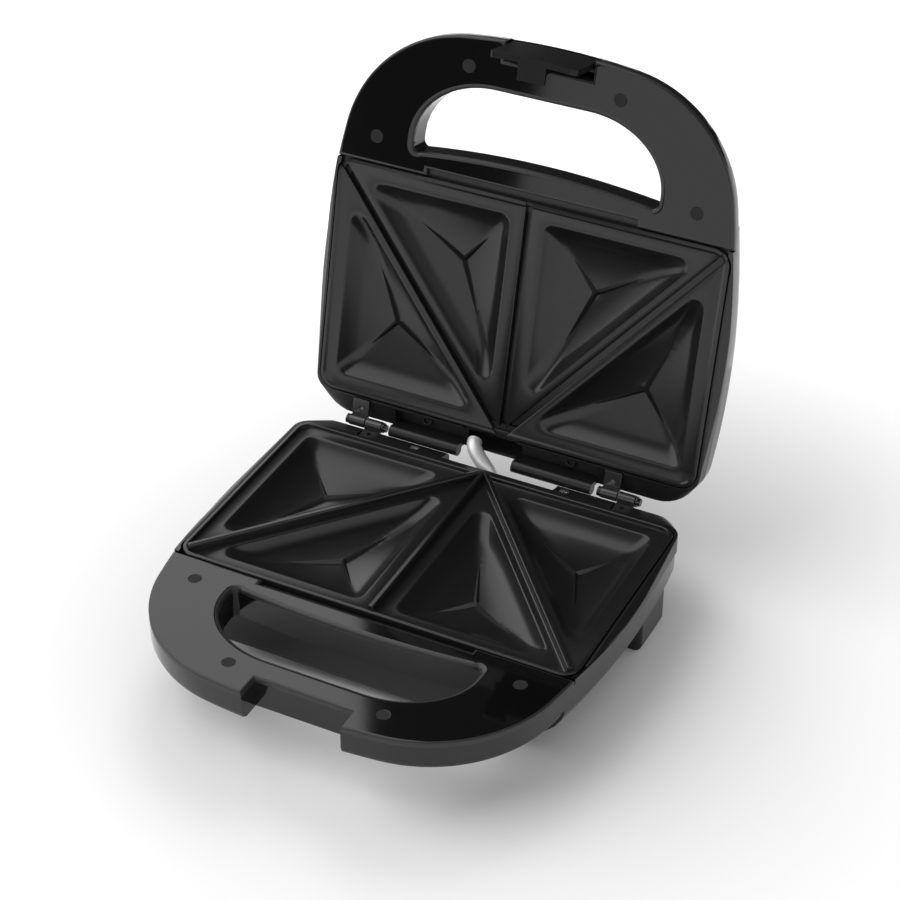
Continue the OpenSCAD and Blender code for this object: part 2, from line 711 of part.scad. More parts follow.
module lower_shell() {
  color("#141416") {
    difference() {
      low() union() {
        difference() {
          housing(lower_depth, lower_levels, lower_front_steep, lower_handle_t, lower_edge_r, notch_w / 2, notch_d,
            lower_depth);
          mirror([0, 0, 1]) axis_cut(axis_room, -far, far);
        }
        for (p = front_feet) translate([p[0], p[1], lower_depth * 0.8])
          cylinder(r = foot_r, h = lower_depth * 0.2 + foot_h, $fn = 48);
        for (s = [-1, 1]) translate([0, 0, lower_depth * 0.7])
          linear_extrude(lower_depth * 0.3 + foot_h) rear_foot(s, 0);
      }
      stand() {
        translate([recess_from, recess_y, -far]) cube([recess_to - recess_from, far, 2 * far]);
        translate([conduit_x, recess_y + 10, conduit_z]) rotate([90, 0, 0]) cylinder(r = conduit_r + 0.2, h = 30, $fn = 40);
        translate([gland_x, rear_y + 1, gland_z]) rotate([90, 0, 0]) cylinder(r = gland_r, h = 10, $fn = 48);
      }
    }
    low() difference() {
      translate([recess_from - shell_wall, recess_y - shell_wall, seam_at(rear_y) + 0.2])
        cube([recess_to - recess_from + 2 * shell_wall, rear_y - recess_y, lower_depth - seam_at(rear_y) - 8]);
      translate([recess_from, recess_y, -far]) cube([recess_to - recess_from, far, 2 * far]);
      translate([conduit_x, recess_y + 10, -conduit_z]) rotate([90, 0, 0]) cylinder(r = conduit_r + 0.2, h = 30, $fn = 40);
    }
  }
}

module lower_frame() {
  color("#222325") stand() difference() {
    mirror([0, 0, 1]) frame_ring(lower_land);
    axis_cut(axis_room, -far, far);
    strap_room(-1);
    translate([recess_from, recess_y, -far]) cube([recess_to - recess_from, far, 2 * far]);
    for (x = frame_screw_x) translate([x, frame_screw_y, -12]) cylinder(r = screw_r, h = 30, $fn = 24);
    for (x = frame_screw_x) translate([x, frame_screw_y, -5]) cylinder(r = screw_head_r + 0.4, h = 30, $fn = 32);
  }
}

module lower_handle_cover() {
  color("#0b0b0d") low() handle_cover(true);
}

module lower_plate() {
  color("#2b2c2e") low() union() {
    plate_casting(lower_land);
    within_plate(rim_w - 0.01) fan(rib_w, lower_land - rib_h, lower_land + 1);
  }
}

module lower_heater() { color("#7d7f80") low() heater(); }
module lower_reflector() { color("#a9abac") low() pan(lower_land); }
module lower_clamps() { color("#97999a") low() clamps(); }
module lower_plate_screws() { color("#8a8c8e") low() plate_screws(); }
module lower_cover_screws() { color("#8a8c8e") low() cover_screws(lower_handle_t); }
module lower_screw_plugs() { color("#4b4c4f") low() screw_plugs(); }
module lower_case_screws() { color("#8a8c8e") low() case_screws(); }
module lower_hinge_straps() { color("#8e9092") stand() straps(-1); }

module lower_hinge_screws() {
  color("#8a8c8e") stand() for (x = hinge_spots)
    translate([x + knuckle_gap + knuckle_l / 2, hinge_y - 6.5, -seam_at(hinge_y - 6.5) - 2.2])
      screw(seam_at(hinge_y - 6.5) + 2.2 - hinge_drop - knuckle_r, head_r = 2);
}

module frame_screws() {
  color("#9a9c9e") stand() for (x = frame_screw_x)
    translate([x, frame_screw_y, -5]) mirror([0, 0, 1]) screw(6);
}

module foot_pads() {
  color("#1b1b1c") low() {
    for (p = front_feet) translate([p[0], p[1], lower_depth + foot_h]) cylinder(r = foot_r - 1, h = pad_t, $fn = 48);
    for (s = [-1, 1]) translate([0, 0, lower_depth + foot_h]) linear_extrude(pad_t) rear_foot(s, 1);
  }
}

module thermostat() {
  color("#c9c4b6") low() translate([0, 8, 0]) {
    translate([0, 0, lower_land + plate_wall]) cylinder(r = 7, h = basin_floor - lower_land - plate_wall + 3, $fn = 48);
    translate([-9, -4, basin_floor + 3]) cube([18, 8, 2]);
    for (s = [-1, 1]) translate([s * 6 - 0.4, -3, basin_floor + 5]) cube([0.8, 6, 2.6]);
  }
}

module thermal_fuse() {
  color("#d8d3c4") low() translate([34, 24, pan_floor - 2.2]) {
    rotate([0, 90, 0]) cylinder(r = 2.2, h = 18, center = true, $fn = 32);
    translate([-3, -3, 1.4]) cube([6, 6, 0.8]);
  }
}

module terminal_block() {
  color("#e4e2dc") low() difference() {
    translate([-42, 29, lower_depth - shell_wall - block_h]) cube([36, 12, block_h]);
    for (i = [0:2]) translate([-36 + 12 * i, 33, lower_depth - shell_wall - block_h - 1]) cylinder(r = 2, h = 6, $fn = 24);
  }
}

module lower_wiring() {
  top = lower_depth - shell_wall - block_h - wire_r;
  color("#a33a2c") low() {
    bar_along([[-15, ends_y, heater_z], [-16, ends_y + 1, heater_z + 3], [-22, ends_y - 2.4, top], [-34, 40, top]],
      wire_r, 8);
    bar_along([[15, ends_y, heater_z], [14, ends_y + 1, heater_z + 3], [7, ends_y - 1, top], [-6, ends_y - 3.4, top],
      [-14, 40, top]], wire_r, 8);
    bar_along([[2, ends_y - 0.9, 18], [1, ends_y - 1.6, 21], [-9, ends_y - 1.8, top - 0.3], [-24, 40, top]], wire_r, 8);
    bar_along([[gland_x, rear_y - 7, -gland_z], [gland_x, rear_y - 12, -gland_z], [52, ends_y + 0.6, 23],
      [30, ends_y - 1.9, top], [12, 40, top], [-7, 36, top]], wire_r, 8);
  }
}

module cord_gland() {
  color("#171718") stand() translate([gland_x, rear_y, gland_z]) rotate([90, 0, 0]) difference() {
    union() {
      translate([0, 0, -2.4]) cylinder(r = gland_r + 2, h = 2.4, $fn = 48);
      translate([0, 0, -eps]) cylinder(r = gland_r - 0.05, h = 7, $fn = 48);
    }
    translate([0, 0, -5]) cylinder(r = cord_r, h = 20, $fn = 40);
  }
}

module hinge_pins() {
  color("#c2c4c6") stand() for (x = hinge_spots)
    translate([x - knuckle_l - 0.4, hinge_y, hinge_z]) rotate([0, 90, 0]) {
      cylinder(r = hinge_pin_r, h = 2 * knuckle_l + 1.6, $fn = 48);
      translate([0, 0, -pin_head_l + 0.2]) cylinder(r = knuckle_r - 0.4, h = pin_head_l - 0.2, $fn = 40);
      translate([0, 0, 2 * knuckle_l + 0.9]) cylinder(r = knuckle_r - 0.2, h = 0.8, $fn = 40);
      translate([0, 0, 2 * knuckle_l + 1.6]) cylinder(r = hinge_pin_r + 0.5, h = 1.6, $fn = 40);
    }
}

// The conduit climbs out of the base, passes before the hinge axis and bends into the lid
function bezier(a, b, c, d, t) = pow(1 - t, 3) * a + 3 * pow(1 - t, 2) * t * b + 3 * (1 - t) * t * t * c + pow(t, 3) * d;

module conduit() {
  steps = 9;
  below = [for (i = [0:steps]) bezier(conduit_low, conduit_low + [0, 13, 0], conduit_turn - [-1.5, -1, 10],
    conduit_turn, i / steps)];
  above = [for (i = [1:steps]) bezier(conduit_turn, conduit_turn + [-2, -0.5, 6], conduit_top + [1, -7.5, -1.5],
    conduit_top, i / steps)];
  color("#c9cacc") stand() bar_along(concat(below, above), conduit_r, 14);
}

// ---- the lid ---------------------------------------------------------------

module upper_shell() {
  color("#141416") lid() difference() {
    housing(upper_depth, upper_levels, upper_front_steep, upper_handle_t, upper_edge_r, latch_w / 2 + latch_room, latch_front_d,
      latch_z + latch_barrel_r + 2 * latch_room);
    axis_cut(axis_room, -far, far);
    axis_cut(tube_room, tube_from, tube_to);
    on_lid_top() for (x = lens_x) translate([x, lens_y, -10]) cylinder(r = lens_r, h = 20, $fn = 40);
    translate([latch_shift, latch_y, latch_z]) rotate([0, 90, 0])
      cylinder(r = latch_pin_r, h = latch_w + 9, center = true, $fn = 40);
  }
}

module upper_frame() {
  color("#222325") lid() {
    difference() {
      frame_ring(upper_land);
      axis_cut(axis_room, -far, far);
      axis_cut(tube_room, tube_from, tube_to);
      strap_room(1);
      translate([spine_from, plate_d / 2 + 2.4, -1]) cube([spine_to - spine_from, rear_y - plate_d / 2 - 4, well_z + 1]);
    }
    // round spine along the hinge axis, open where the conduit passes
    difference() {
      union() {
        axis_cut(spine_r, spine_from, spine_to);
        translate([spine_from, rear_y - 1.7, -0.4]) cube([spine_to - spine_from, 2.4, 6.4]);
      }
      axis_cut(tube_room + 0.5, tube_from, tube_to);
    }
    // two ringed screw bosses in the well before the spine
    for (x = ring_x) translate([x, frame_screw_y, well_z - 2.4]) difference() {
      cylinder(r = 3, h = 2.6, $fn = 32);
      translate([0, 0, -1]) cylinder(r = 1.6, h = 2.8, $fn = 24);
    }
  }
}

module upper_handle_cover() {
  color("#0b0b0d") lid() handle_cover(false);
}

module upper_plate() {
  color("#2b2c2e") lid() difference() {
    plate_casting(upper_land)
      within_plate(ledge_w) fan(rib_w + 2 * groove_gap + 2 * plate_wall, upper_land, deep_groove + 1.6);
    within_plate(rim_w - 0.4) fan(rib_w + 2 * groove_gap, -1, groove_floor);
    within_plate(ledge_w + plate_wall) fan(rib_w + 2 * groove_gap, -1, deep_groove);
  }
}

module upper_heater() { color("#7d7f80") lid() heater(); }
module upper_reflector() { color("#a9abac") lid() pan(upper_land); }
module upper_clamps() { color("#97999a") lid() clamps(); }
module upper_plate_screws() { color("#8a8c8e") lid() plate_screws(); }
module upper_cover_screws() { color("#8a8c8e") lid() cover_screws(upper_handle_t); }
module upper_screw_plugs() { color("#4b4c4f") lid() screw_plugs(); }
module upper_case_screws() { color("#8a8c8e") lid() case_screws(); }
module upper_hinge_straps() { color("#8e9092") lid() straps(1); }

module upper_hinge_screws() {
  color("#8a8c8e") lid() for (x = hinge_spots)
    translate([x - knuckle_l / 2, hinge_y - 6.5, seam_at(hinge_y - 6.5) + 2.2]) mirror([0, 0, 1])
      screw(seam_at(hinge_y - 6.5) + 2.2 + hinge_drop - knuckle_r, head_r = 2);
}

// Places things on the lid's slanting top, with z = 0 at its outer surface
module on_lid_top() {
  translate([0, front_y, upper_front_z]) rotate([top_tilt, 0, 0]) translate([0, -front_y, 0]) children();
}

module lamp_board() {
  color("#8c7a4a") lid() on_lid_top() {
    translate([-18, lens_y - 9, -board_drop]) cube([36, 18, 1.2]);
    for (x = lens_x) translate([x, lens_y, 1.2 - eps - board_drop]) cylinder(r = 2.2, h = board_drop - 4.4, $fn = 32);
    for (s = [-1, 1]) translate([s * 15, lens_y, 1.2 - eps - board_drop])
      cylinder(r = 2, h = board_drop - 1.2 - shell_wall, $fn = 32);
  }
}

module indicator_lenses() {
  color("#a8322a") lid() on_lid_top() for (x = lens_x) translate([x, lens_y, 0]) {
    translate([0, 0, -shell_wall - 0.4]) cylinder(r = lens_r - 0.05, h = shell_wall + 0.8, $fn = 40);
    cylinder(r = lens_r + 1, h = lens_lip, $fn = 40);
  }
}

module upper_wiring() {
  color("#a33a2c") lid() {
    bar_along([[-15, ends_y, heater_z], [-15, ends_y + 1.6, heater_z - 2], [-13.6, ends_y + 2.8, 14]], wire_r, 8);
    bar_along([[15, ends_y, heater_z], [15, ends_y + 1.4, heater_z + 4], [14.5, ends_y - 1.4, 27.2],
      [14, ends_y - 8.4, 28], [9, lens_y + 18, 28.4], [9, lens_y + 9.2, 28.9]], wire_r, 8);
  }
}

// ---- the latch ----------------------------------------------------------------

module latch_pin() {
  color("#c2c4c6") lid() translate([latch_shift, latch_y, latch_z]) rotate([0, 90, 0])
    cylinder(r = latch_pin_r - 0.05, h = latch_w + 7, center = true, $fn = 40);
}

module latch_spring() {
  color("#b5b7b9") lid() translate([latch_shift, latch_y, latch_z]) rotate([0, 90, 0]) {
    for (i = [-2:2]) translate([0, 0, i * 1.3]) rotate_extrude($fn = 48) translate([latch_barrel_r - 0.9, 0])
      circle(r = 0.35, $fn = 16);
  }
}

// A face that follows the handle's bowed front, a barrel on the pin and a tooth
module latch_clip() {
  top = latch_z + 1;
  bottom = latch_hook_z - latch_hook_t;
  face_y = tip_y + latch_face_in;
  color("#1a1a1c") lid() difference() {
    union() {
      intersection() {
        translate([0, 0, bottom]) linear_extrude(top - bottom) difference() {
          outline(latch_face_in);
          outline(latch_face_in + latch_t);
        }
        translate([latch_shift, tip_y + 15, (top + bottom) / 2 + 2]) rotate([90, 0, 0]) linear_extrude(30)
          rounded(latch_w, top - bottom + 4, latch_end_r);
      }
      intersection() {
        translate([latch_shift - latch_w / 2, latch_y, latch_z]) rotate([0, 90, 0])
          cylinder(r = latch_barrel_r, h = latch_w, $fn = 48);
        translate([-far, face_y + 0.6, -far]) cube(2 * far);
      }
      translate([latch_shift - latch_w / 2 + 2, face_y + 1.2, latch_z - 2.6]) cube([latch_w - 4, 4, 3.4]);
      translate([latch_shift - latch_hook_w / 2, face_y + 1.5, latch_hook_z - latch_hook_t + 0.2])
        cube([latch_hook_w, tip_y + notch_d - latch_clear - face_y - 1.5, latch_hook_t - 0.2]);
      for (s = [-1, 1]) translate([latch_shift + s * (latch_hook_w / 2 - 1.6) - 1, face_y + 1.6, bottom + 0.6])
        cube([2, latch_t + 2.5, 12]);
    }
    translate([latch_shift, latch_y, latch_z]) rotate([0, 90, 0])
      cylinder(r = latch_pin_r, h = latch_w + 10, center = true, $fn = 40);
    translate([latch_shift - 4, face_y + latch_t + 0.01, latch_z - 5]) cube([8, 12, 12]);
  }
}

lower_shell();
lower_frame();
lower_handle_cover();
lower_plate();
lower_heater();
lower_reflector();
lower_clamps();
lower_plate_screws();
lower_cover_screws();
lower_screw_plugs();
lower_case_screws();
lower_hinge_straps();
lower_hinge_screws();
frame_screws();
foot_pads();
thermostat();
thermal_fuse();
terminal_block();
lower_wiring();
cord_gland();
hinge_pins();
conduit();
upper_shell();
upper_frame();
upper_handle_cover();
upper_plate();
upper_heater();
upper_reflector();
upper_clamps();
upper_plate_screws();
upper_cover_screws();
upper_screw_plugs();
upper_case_screws();
upper_hinge_straps();
upper_hinge_screws();
lamp_board();
indicator_lenses();
upper_wiring();
latch_pin();
latch_spring();
latch_clip();
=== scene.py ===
"""Sandwich toaster with its lid open: finishes, cast plates, covers, conduit, light and camera.

Each half is worked out closed, in millimetres, with z pointing outwards from the
parting plane and y = 0 at the middle of the plates, and is then placed in the frame.
"""
import json
import math
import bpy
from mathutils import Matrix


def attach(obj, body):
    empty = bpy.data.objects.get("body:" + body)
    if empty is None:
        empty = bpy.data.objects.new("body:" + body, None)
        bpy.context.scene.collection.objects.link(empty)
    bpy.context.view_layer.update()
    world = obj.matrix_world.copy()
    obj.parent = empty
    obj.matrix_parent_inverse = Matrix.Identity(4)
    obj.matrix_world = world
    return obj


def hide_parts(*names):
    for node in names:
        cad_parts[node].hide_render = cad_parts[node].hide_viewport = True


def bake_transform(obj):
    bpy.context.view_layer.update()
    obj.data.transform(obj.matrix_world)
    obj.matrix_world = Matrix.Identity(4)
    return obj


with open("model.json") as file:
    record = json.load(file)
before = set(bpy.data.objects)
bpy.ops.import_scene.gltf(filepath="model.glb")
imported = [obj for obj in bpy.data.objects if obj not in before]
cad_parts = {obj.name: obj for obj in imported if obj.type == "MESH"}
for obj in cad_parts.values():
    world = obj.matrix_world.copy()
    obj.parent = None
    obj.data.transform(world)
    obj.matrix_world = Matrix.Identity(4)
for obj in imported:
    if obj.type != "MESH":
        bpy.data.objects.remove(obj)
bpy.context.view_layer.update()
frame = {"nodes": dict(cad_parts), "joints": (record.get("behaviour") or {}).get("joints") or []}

from types import SimpleNamespace

import bmesh
import bpy
import numpy as np
from mathutils import Matrix, geometry

bl_info = {
    "name": "Sandwich toaster",
    "version": (1, 0, 0),
    "blender": (4, 5, 0),
    "location": "3D View > Sidebar > Toaster",
    "description": "Builds the finished surfaces of a two-slice sandwich toaster",
    "category": "Object",
}

MM = 0.001
STAND_Z = 50.0                      # parting plane over the table
MID_Y = 78.5 - frame["joints"][0]["pos_m"][1] / MM   # middle of the whole object, from the hinge
HALVES = ("lower", "upper")


# ---- settings ----------------------------------------------------------------

def length(name, description, value_mm, low_mm, high_mm):
    """A length setting, given in millimetres and kept in metres."""
    return bpy.props.FloatProperty(name=name, description=description, default=value_mm * MM,
                                   min=low_mm * MM, max=high_mm * MM, unit="LENGTH", precision=5)


def colour(name, description, value):
    """A linear colour setting."""
    return bpy.props.FloatVectorProperty(name=name, description=description, default=value,
                                         min=0.0, max=1.0, size=3, subtype="COLOR")


class ToasterSizes(bpy.types.PropertyGroup):
    """Sizes of the pieces that are modelled here."""
    plate_w: length("Plate width", "Width of each cooking plate", 220, 206, 232)
    plate_d: length("Plate depth", "Depth of each cooking plate", 130, 122, 138)
    plate_corner: length("Plate corner", "Radius of the plates' corners", 9, 6, 12)
    plate_wall: length("Plate wall", "Thickness of the cast plates", 2.6, 2, 3.2)
    rim_w: length("Rim width", "Width of the raised rim round each plate", 2.4, 1.6, 3.2)
    pocket_floor: length("Pocket floor", "Parting plane to the bottom of a pocket", 13, 11, 14)
    pocket_land: length("Pocket land", "Flat land round the pockets", 8.8, 7.5, 10)
    rib_land: length("Rib land", "Flat land beside the dividing ribs", 5.2, 4.6, 6.5)
    pocket_corner: length("Pocket corner", "Radius of the pockets' corners", 5.5, 4, 7)
    rib_w: length("Rib width", "Width of the dividing ribs", 3, 2.2, 3.6)
    rib_h: length("Rib height", "Height of the ribs over the lower land", 4.2, 3.4, 4.6)
    groove_gap: length("Groove gap", "Clearance each side of a rib in its groove", 0.8, 0.5, 1)
    cover_t: length("Cover thickness", "Thickness of the glossy handle covers", 3, 2.4, 3.4)
    cover_lip: length("Cover lip", "Width of the rounded lip round the covers", 1.5, 0.6, 2)
    opening_lip: length("Opening lip", "Width of the rounded lip round the finger openings", 2.5, 1, 3)
    conduit_r: length("Conduit radius", "Radius of the flexible conduit", 4, 3.4, 4.2)


class ToasterColours(bpy.types.PropertyGroup):
    """Base colours of the finishes."""
    gloss: colour("Gloss black", "Polished covers and housings", (0.0035, 0.0035, 0.0037))
    satin: colour("Satin black", "Textured plastic frames", (0.0075, 0.0075, 0.008))
    coating: colour("Non-stick", "Coating of the cast plates", (0.010, 0.010, 0.0105))
    plug: colour("Screw caps", "Grey caps over the cover screws", (0.022, 0.022, 0.023))
    steel: colour("Steel", "Conduit, pins and screws", (0.62, 0.62, 0.61))
    rubber: colour("Rubber", "Foot pads", (0.012, 0.012, 0.012))
    lens: colour("Lens", "Indicator lenses", (0.35, 0.02, 0.012))


def millimetres(context):
    """The length settings as plain millimetres."""
    group = context.scene.toaster_sizes
    return SimpleNamespace(**{key: getattr(group, key) / MM for key in ToasterSizes.__annotations__})


# ---- the plan of the housings --------------------------------------------------

FRONT_Y, REAR_Y, TIP_Y = -65.0, 77.0, -145.0
HINGE_Y, HINGE_Z = 78.5, -1.6
OPEN_ANGLE = math.radians(103.5)
PART_GAP = 0.3
LAND = {"lower": 2.5, "upper": 1.1}
PLATE_GAP = 0.8
LATCH_SHIFT = 1.3
NOTCH = {"lower": (53.0, 13.5), "upper": (48.8, 11.0)}
SLOT_W, SLOT_D = 118.0, 4.5
OPENING_W, OPENING_D, GRIP_D = 138.0, 41.5, 27.0
COVER_SPOTS = [(-89.3, -80.3), (89.3, -80.3), (-41.5, -127.7), (41.5, -127.7)]
BOW_R, CORNER_R, SIDE_R, REAR_R = 392.0, 71.0, 445.0, 22.0
HALF_W, SIDE_MID_Y = 115.4, -3.0


def unit(v):
    """A vector divided by its length."""
    return np.asarray(v, float) / np.linalg.norm(v)


def arc(centre, radius, start, stop, count):
    """Points on a circle from one angle to another."""
    a = np.linspace(start, stop, count)
    return np.asarray(centre) + radius * np.c_[np.cos(a), np.sin(a)]


def angle_of(v):
    """Angle of a plan vector from the x axis."""
    return math.atan2(v[1], v[0])


def outline(inset=0.0):
    """Closed outline of a housing, counter-clockwise from the front tip.

    Four tangent arcs each side (front bow, front corner, side bow, rear corner)
    and a straight rear edge; an inset shortens every radius.
    """
    bow_c = np.array([0.0, TIP_Y + BOW_R])
    side_c = np.array([HALF_W - SIDE_R, SIDE_MID_Y])
    bow_in, side_in = BOW_R - CORNER_R, SIDE_R - CORNER_R
    gap = side_c - bow_c
    gap_l = np.linalg.norm(gap)
    along = (bow_in ** 2 - side_in ** 2 + gap_l ** 2) / (2 * gap_l)
    across = math.sqrt(bow_in ** 2 - along ** 2)
    corner_c = bow_c + along * gap / gap_l + across * np.array([-gap[1], gap[0]]) / gap_l
    rear_cy = REAR_Y - REAR_R
    rear_cx = side_c[0] + math.sqrt((SIDE_R - REAR_R) ** 2 - (rear_cy - SIDE_MID_Y) ** 2)
    rear_c = np.array([rear_cx, rear_cy])
    bow_a, side_a, rear_a = angle_of(corner_c - bow_c), angle_of(corner_c - side_c), angle_of(rear_c - side_c)
    right = np.vstack([
        arc(bow_c, BOW_R - inset, -math.pi / 2, bow_a, 25),
        arc(corner_c, CORNER_R - inset, bow_a, side_a, 49)[1:],
        arc(side_c, SIDE_R - inset, side_a, rear_a, 33)[1:],
        arc(rear_c, REAR_R - inset, rear_a, math.pi / 2, 25)[1:]])
    left = right[:0:-1] * [-1, 1]
    return np.vstack([right, left])


def opening():
    """Finger opening, clockwise: elliptical nose each side and a bowed rear edge."""
    front = TIP_Y + GRIP_D
    rear = front + OPENING_D
    side = OPENING_W / 2
    corner, bow, nose = 4.0, 4.5, 43.0
    nose_d = OPENING_D - corner - 3.0
    t = np.linspace(0, math.pi / 2, 25)
    flank = np.c_[side - nose + nose * np.sin(t), front + nose_d - nose_d * np.cos(t)]
    bow_r = (OPENING_W ** 2 / 4 + bow ** 2) / (2 * bow)
    top = arc([side - corner, rear - corner], corner, 0, math.pi / 2 * 0.96, 9)
    x = np.linspace(side - corner - 0.5, -(side - corner - 0.5), 41)
    back = np.c_[x, rear + bow_r - bow - np.sqrt(bow_r ** 2 - x ** 2)]
    loop = np.vstack([flank, top, back, top[::-1] * [-1, 1], flank[::-1] * [-1, 1]])
    return loop[::-1]


def circle(x, y, r, count=40):
    """A clockwise circle, for a hole."""
    return arc([x, y], r, 2 * math.pi, 0, count + 1)[:-1]


def to_frame(points):
    """Millimetres from the middle of the plates on the parting plane to frame metres."""
    return (np.asarray(points, float) + [0, -MID_Y, STAND_Z]) * MM


def to_row(half, points):
    """Half-frame millimetres to frame metres: the lower half is mirrored, the lid is turned open."""
    p = np.asarray(points, float)
    if half == "lower":
        q = np.c_[p[:, 0], p[:, 1], -p[:, 2]]
    else:
        y, z = p[:, 1] - HINGE_Y, p[:, 2] - HINGE_Z
        c, s = math.cos(OPEN_ANGLE), math.sin(OPEN_ANGLE)
        q = np.c_[p[:, 0], HINGE_Y + y * c + z * s, HINGE_Z - y * s + z * c]
    return to_frame(q)


def turned_to(right, up, back, at):
    """Matrix that turns x, y and z to right, up and back, and moves the origin to a place."""
    return Matrix([[right[k], up[k], back[k], at[k]] for k in range(3)] + [[0, 0, 0, 1]])


# ---- mesh helpers ---------------------------------------------------------------

def build(name, points, faces, sharp_deg=30.0):
    """A welded, outward-facing, smooth-shaded object from row points in metres and faces."""
    mesh = bpy.data.meshes.new(name)
    mesh.from_pydata(np.asarray(points).tolist(), [], faces)
    bm = bmesh.new()
    bm.from_mesh(mesh)
    bmesh.ops.remove_doubles(bm, verts=bm.verts, dist=0.002 * MM)
    bmesh.ops.dissolve_degenerate(bm, edges=bm.edges, dist=0.001 * MM)
    bmesh.ops.recalc_face_normals(bm, faces=bm.faces)
    bm.to_mesh(mesh)
    bm.free()
    mesh.polygons.foreach_set("use_smooth", np.ones(len(mesh.polygons), bool))
    mesh.set_sharp_from_angle(angle=math.radians(sharp_deg))
    obj = bpy.data.objects.new(name, mesh)
    bpy.context.scene.collection.objects.link(obj)
    return obj


def inset_loop(loop, distance):
    """A closed loop moved towards its left by a distance, mitred at its corners."""
    ahead = np.roll(loop, -1, 0) - loop
    ahead /= np.linalg.norm(ahead, axis=1)[:, None]
    normal = np.c_[-ahead[:, 1], ahead[:, 0]]
    before = np.roll(normal, 1, 0)
    mitre = (normal + before) / (1 + (normal * before).sum(1))[:, None]
    return loop + mitre * distance


def inside(points, loops):
    """Even-odd test of points against closed loops."""
    x, y = points[:, 0][:, None], points[:, 1][:, None]
    hit = np.zeros(len(points), int)
    for loop in loops:
        a, b = loop, np.roll(loop, -1, 0)
        spans = (a[:, 1] > y) != (b[:, 1] > y)
        rise = np.where(b[:, 1] == a[:, 1], 1.0, b[:, 1] - a[:, 1])
        at = a[:, 0] + (y - a[:, 1]) * (b[:, 0] - a[:, 0]) / rise
        hit += (spans & (x < at)).sum(1)
    return hit % 2 == 1


def triangulate(loops, lines=(), points=()):
    """Constrained triangulation of closed loops, open lines and loose points, as points and triangles."""
    verts, edges = [], []
    for group, closed in [(l, True) for l in loops] + [(l, False) for l in lines]:
        first = len(verts)
        verts.extend(map(tuple, np.asarray(group)))
        count = len(group)
        edges.extend((first + i, first + i + 1) for i in range(count - 1))
        if closed:
            edges.append((first + count - 1, first))
    verts.extend(map(tuple, points))
    out = geometry.delaunay_2d_cdt(verts, edges, [], 0, 1e-5, False)
    return np.array([tuple(v) for v in out[0]]), np.array([tuple(f) for f in out[2]])


def prism(loops, profiles):
    """A closed piece with flat ends: each loop carries its own wall profile of (inset, z) pairs."""
    points, faces = [], []
    for end in (0, -1):
        rim = [inset_loop(loop, profile[end][0]) for loop, profile in zip(loops, profiles)]
        flat, tris = triangulate(rim)
        keep = inside(flat[tris].mean(1), rim)
        start = len(points)
        points.extend(np.c_[flat, np.full(len(flat), profiles[0][end][1])])
        faces.extend((tris[keep] + start).tolist())
    for loop, profile in zip(loops, profiles):
        count = len(loop)
        start = len(points)
        for inset, z in profile:
            points.extend(np.c_[inset_loop(loop, inset), np.full(count, z)])
        i = np.arange(count)
        j = (i + 1) % count
        for k in range(len(profile) - 1):
            a, b = start + k * count, start + (k + 1) * count
            faces.extend(np.c_[a + i, a + j, b + j, b + i].tolist())
    return np.array(points), faces


def sweep(path, radius, sides):
    """A round closed tube along a path: one ring of points for each path point."""
    path = np.asarray(path, float)
    ahead = np.gradient(path, axis=0)
    ahead /= np.linalg.norm(ahead, axis=1)[:, None]
    side = np.cross(ahead, [1.0, 0, 0])
    side /= np.linalg.norm(side, axis=1)[:, None]
    up = np.cross(side, ahead)
    turn = np.linspace(0, 2 * math.pi, sides, endpoint=False)
    rings = (path[:, None] + np.broadcast_to(radius, len(path))[:, None, None]
             * (np.cos(turn)[None, :, None] * side[:, None] + np.sin(turn)[None, :, None] * up[:, None]))
    i = np.arange(sides)
    j = (i + 1) % sides
    faces = []
    for k in range(len(path) - 1):
        a, b = k * sides, (k + 1) * sides
        faces.extend(np.c_[a + i, a + j, b + j, b + i].tolist())
    last = (len(path) - 1) * sides
    faces.append(list(range(sides - 1, -1, -1)))
    faces.append(list(range(last, last + sides)))
    return rings.reshape(-1, 3), faces


def give(obj, material):
    """The object's only material."""
    obj.data.materials.clear()
    obj.data.materials.append(material)


# ---- finishes -------------------------------------------------------------------

def group(name, inputs, outputs):
    """An empty node group with named sockets: (name, socket type, default)."""
    tree = bpy.data.node_groups.new(name, "ShaderNodeTree")
    for label, kind, default in inputs:
        item = tree.interface.new_socket(label, in_out="INPUT", socket_type=kind)
        item.default_value = default
    for label, kind in outputs:
        tree.interface.new_socket(label, in_out="OUTPUT", socket_type=kind)
    return tree, tree.nodes.new("NodeGroupInput"), tree.nodes.new("NodeGroupOutput")


def maths(tree, operation, a, b):
    """A Math node fed by sockets or numbers; WRAP runs from -b to b."""
    node = tree.nodes.new("ShaderNodeMath")
    node.operation = operation
    if operation == "WRAP":
        node.inputs[2].default_value = -b
    for socket, value in zip(node.inputs, (a, b)):
        if isinstance(value, bpy.types.NodeSocket):
            tree.links.new(value, socket)
        else:
            socket.default_value = value
    return node.outputs[0]


def noise(tree, coords, scale, detail=2.0, rough=0.5):
    """A Noise Texture's factor, its scale a socket or a number."""
    node = tree.nodes.new("ShaderNodeTexNoise")
    node.inputs["Detail"].default_value = detail
    node.inputs["Roughness"].default_value = rough
    if isinstance(scale, bpy.types.NodeSocket):
        tree.links.new(scale, node.inputs["Scale"])
    else:
        node.inputs["Scale"].default_value = scale
    tree.links.new(coords, node.inputs["Vector"])
    return node.outputs["Fac"]


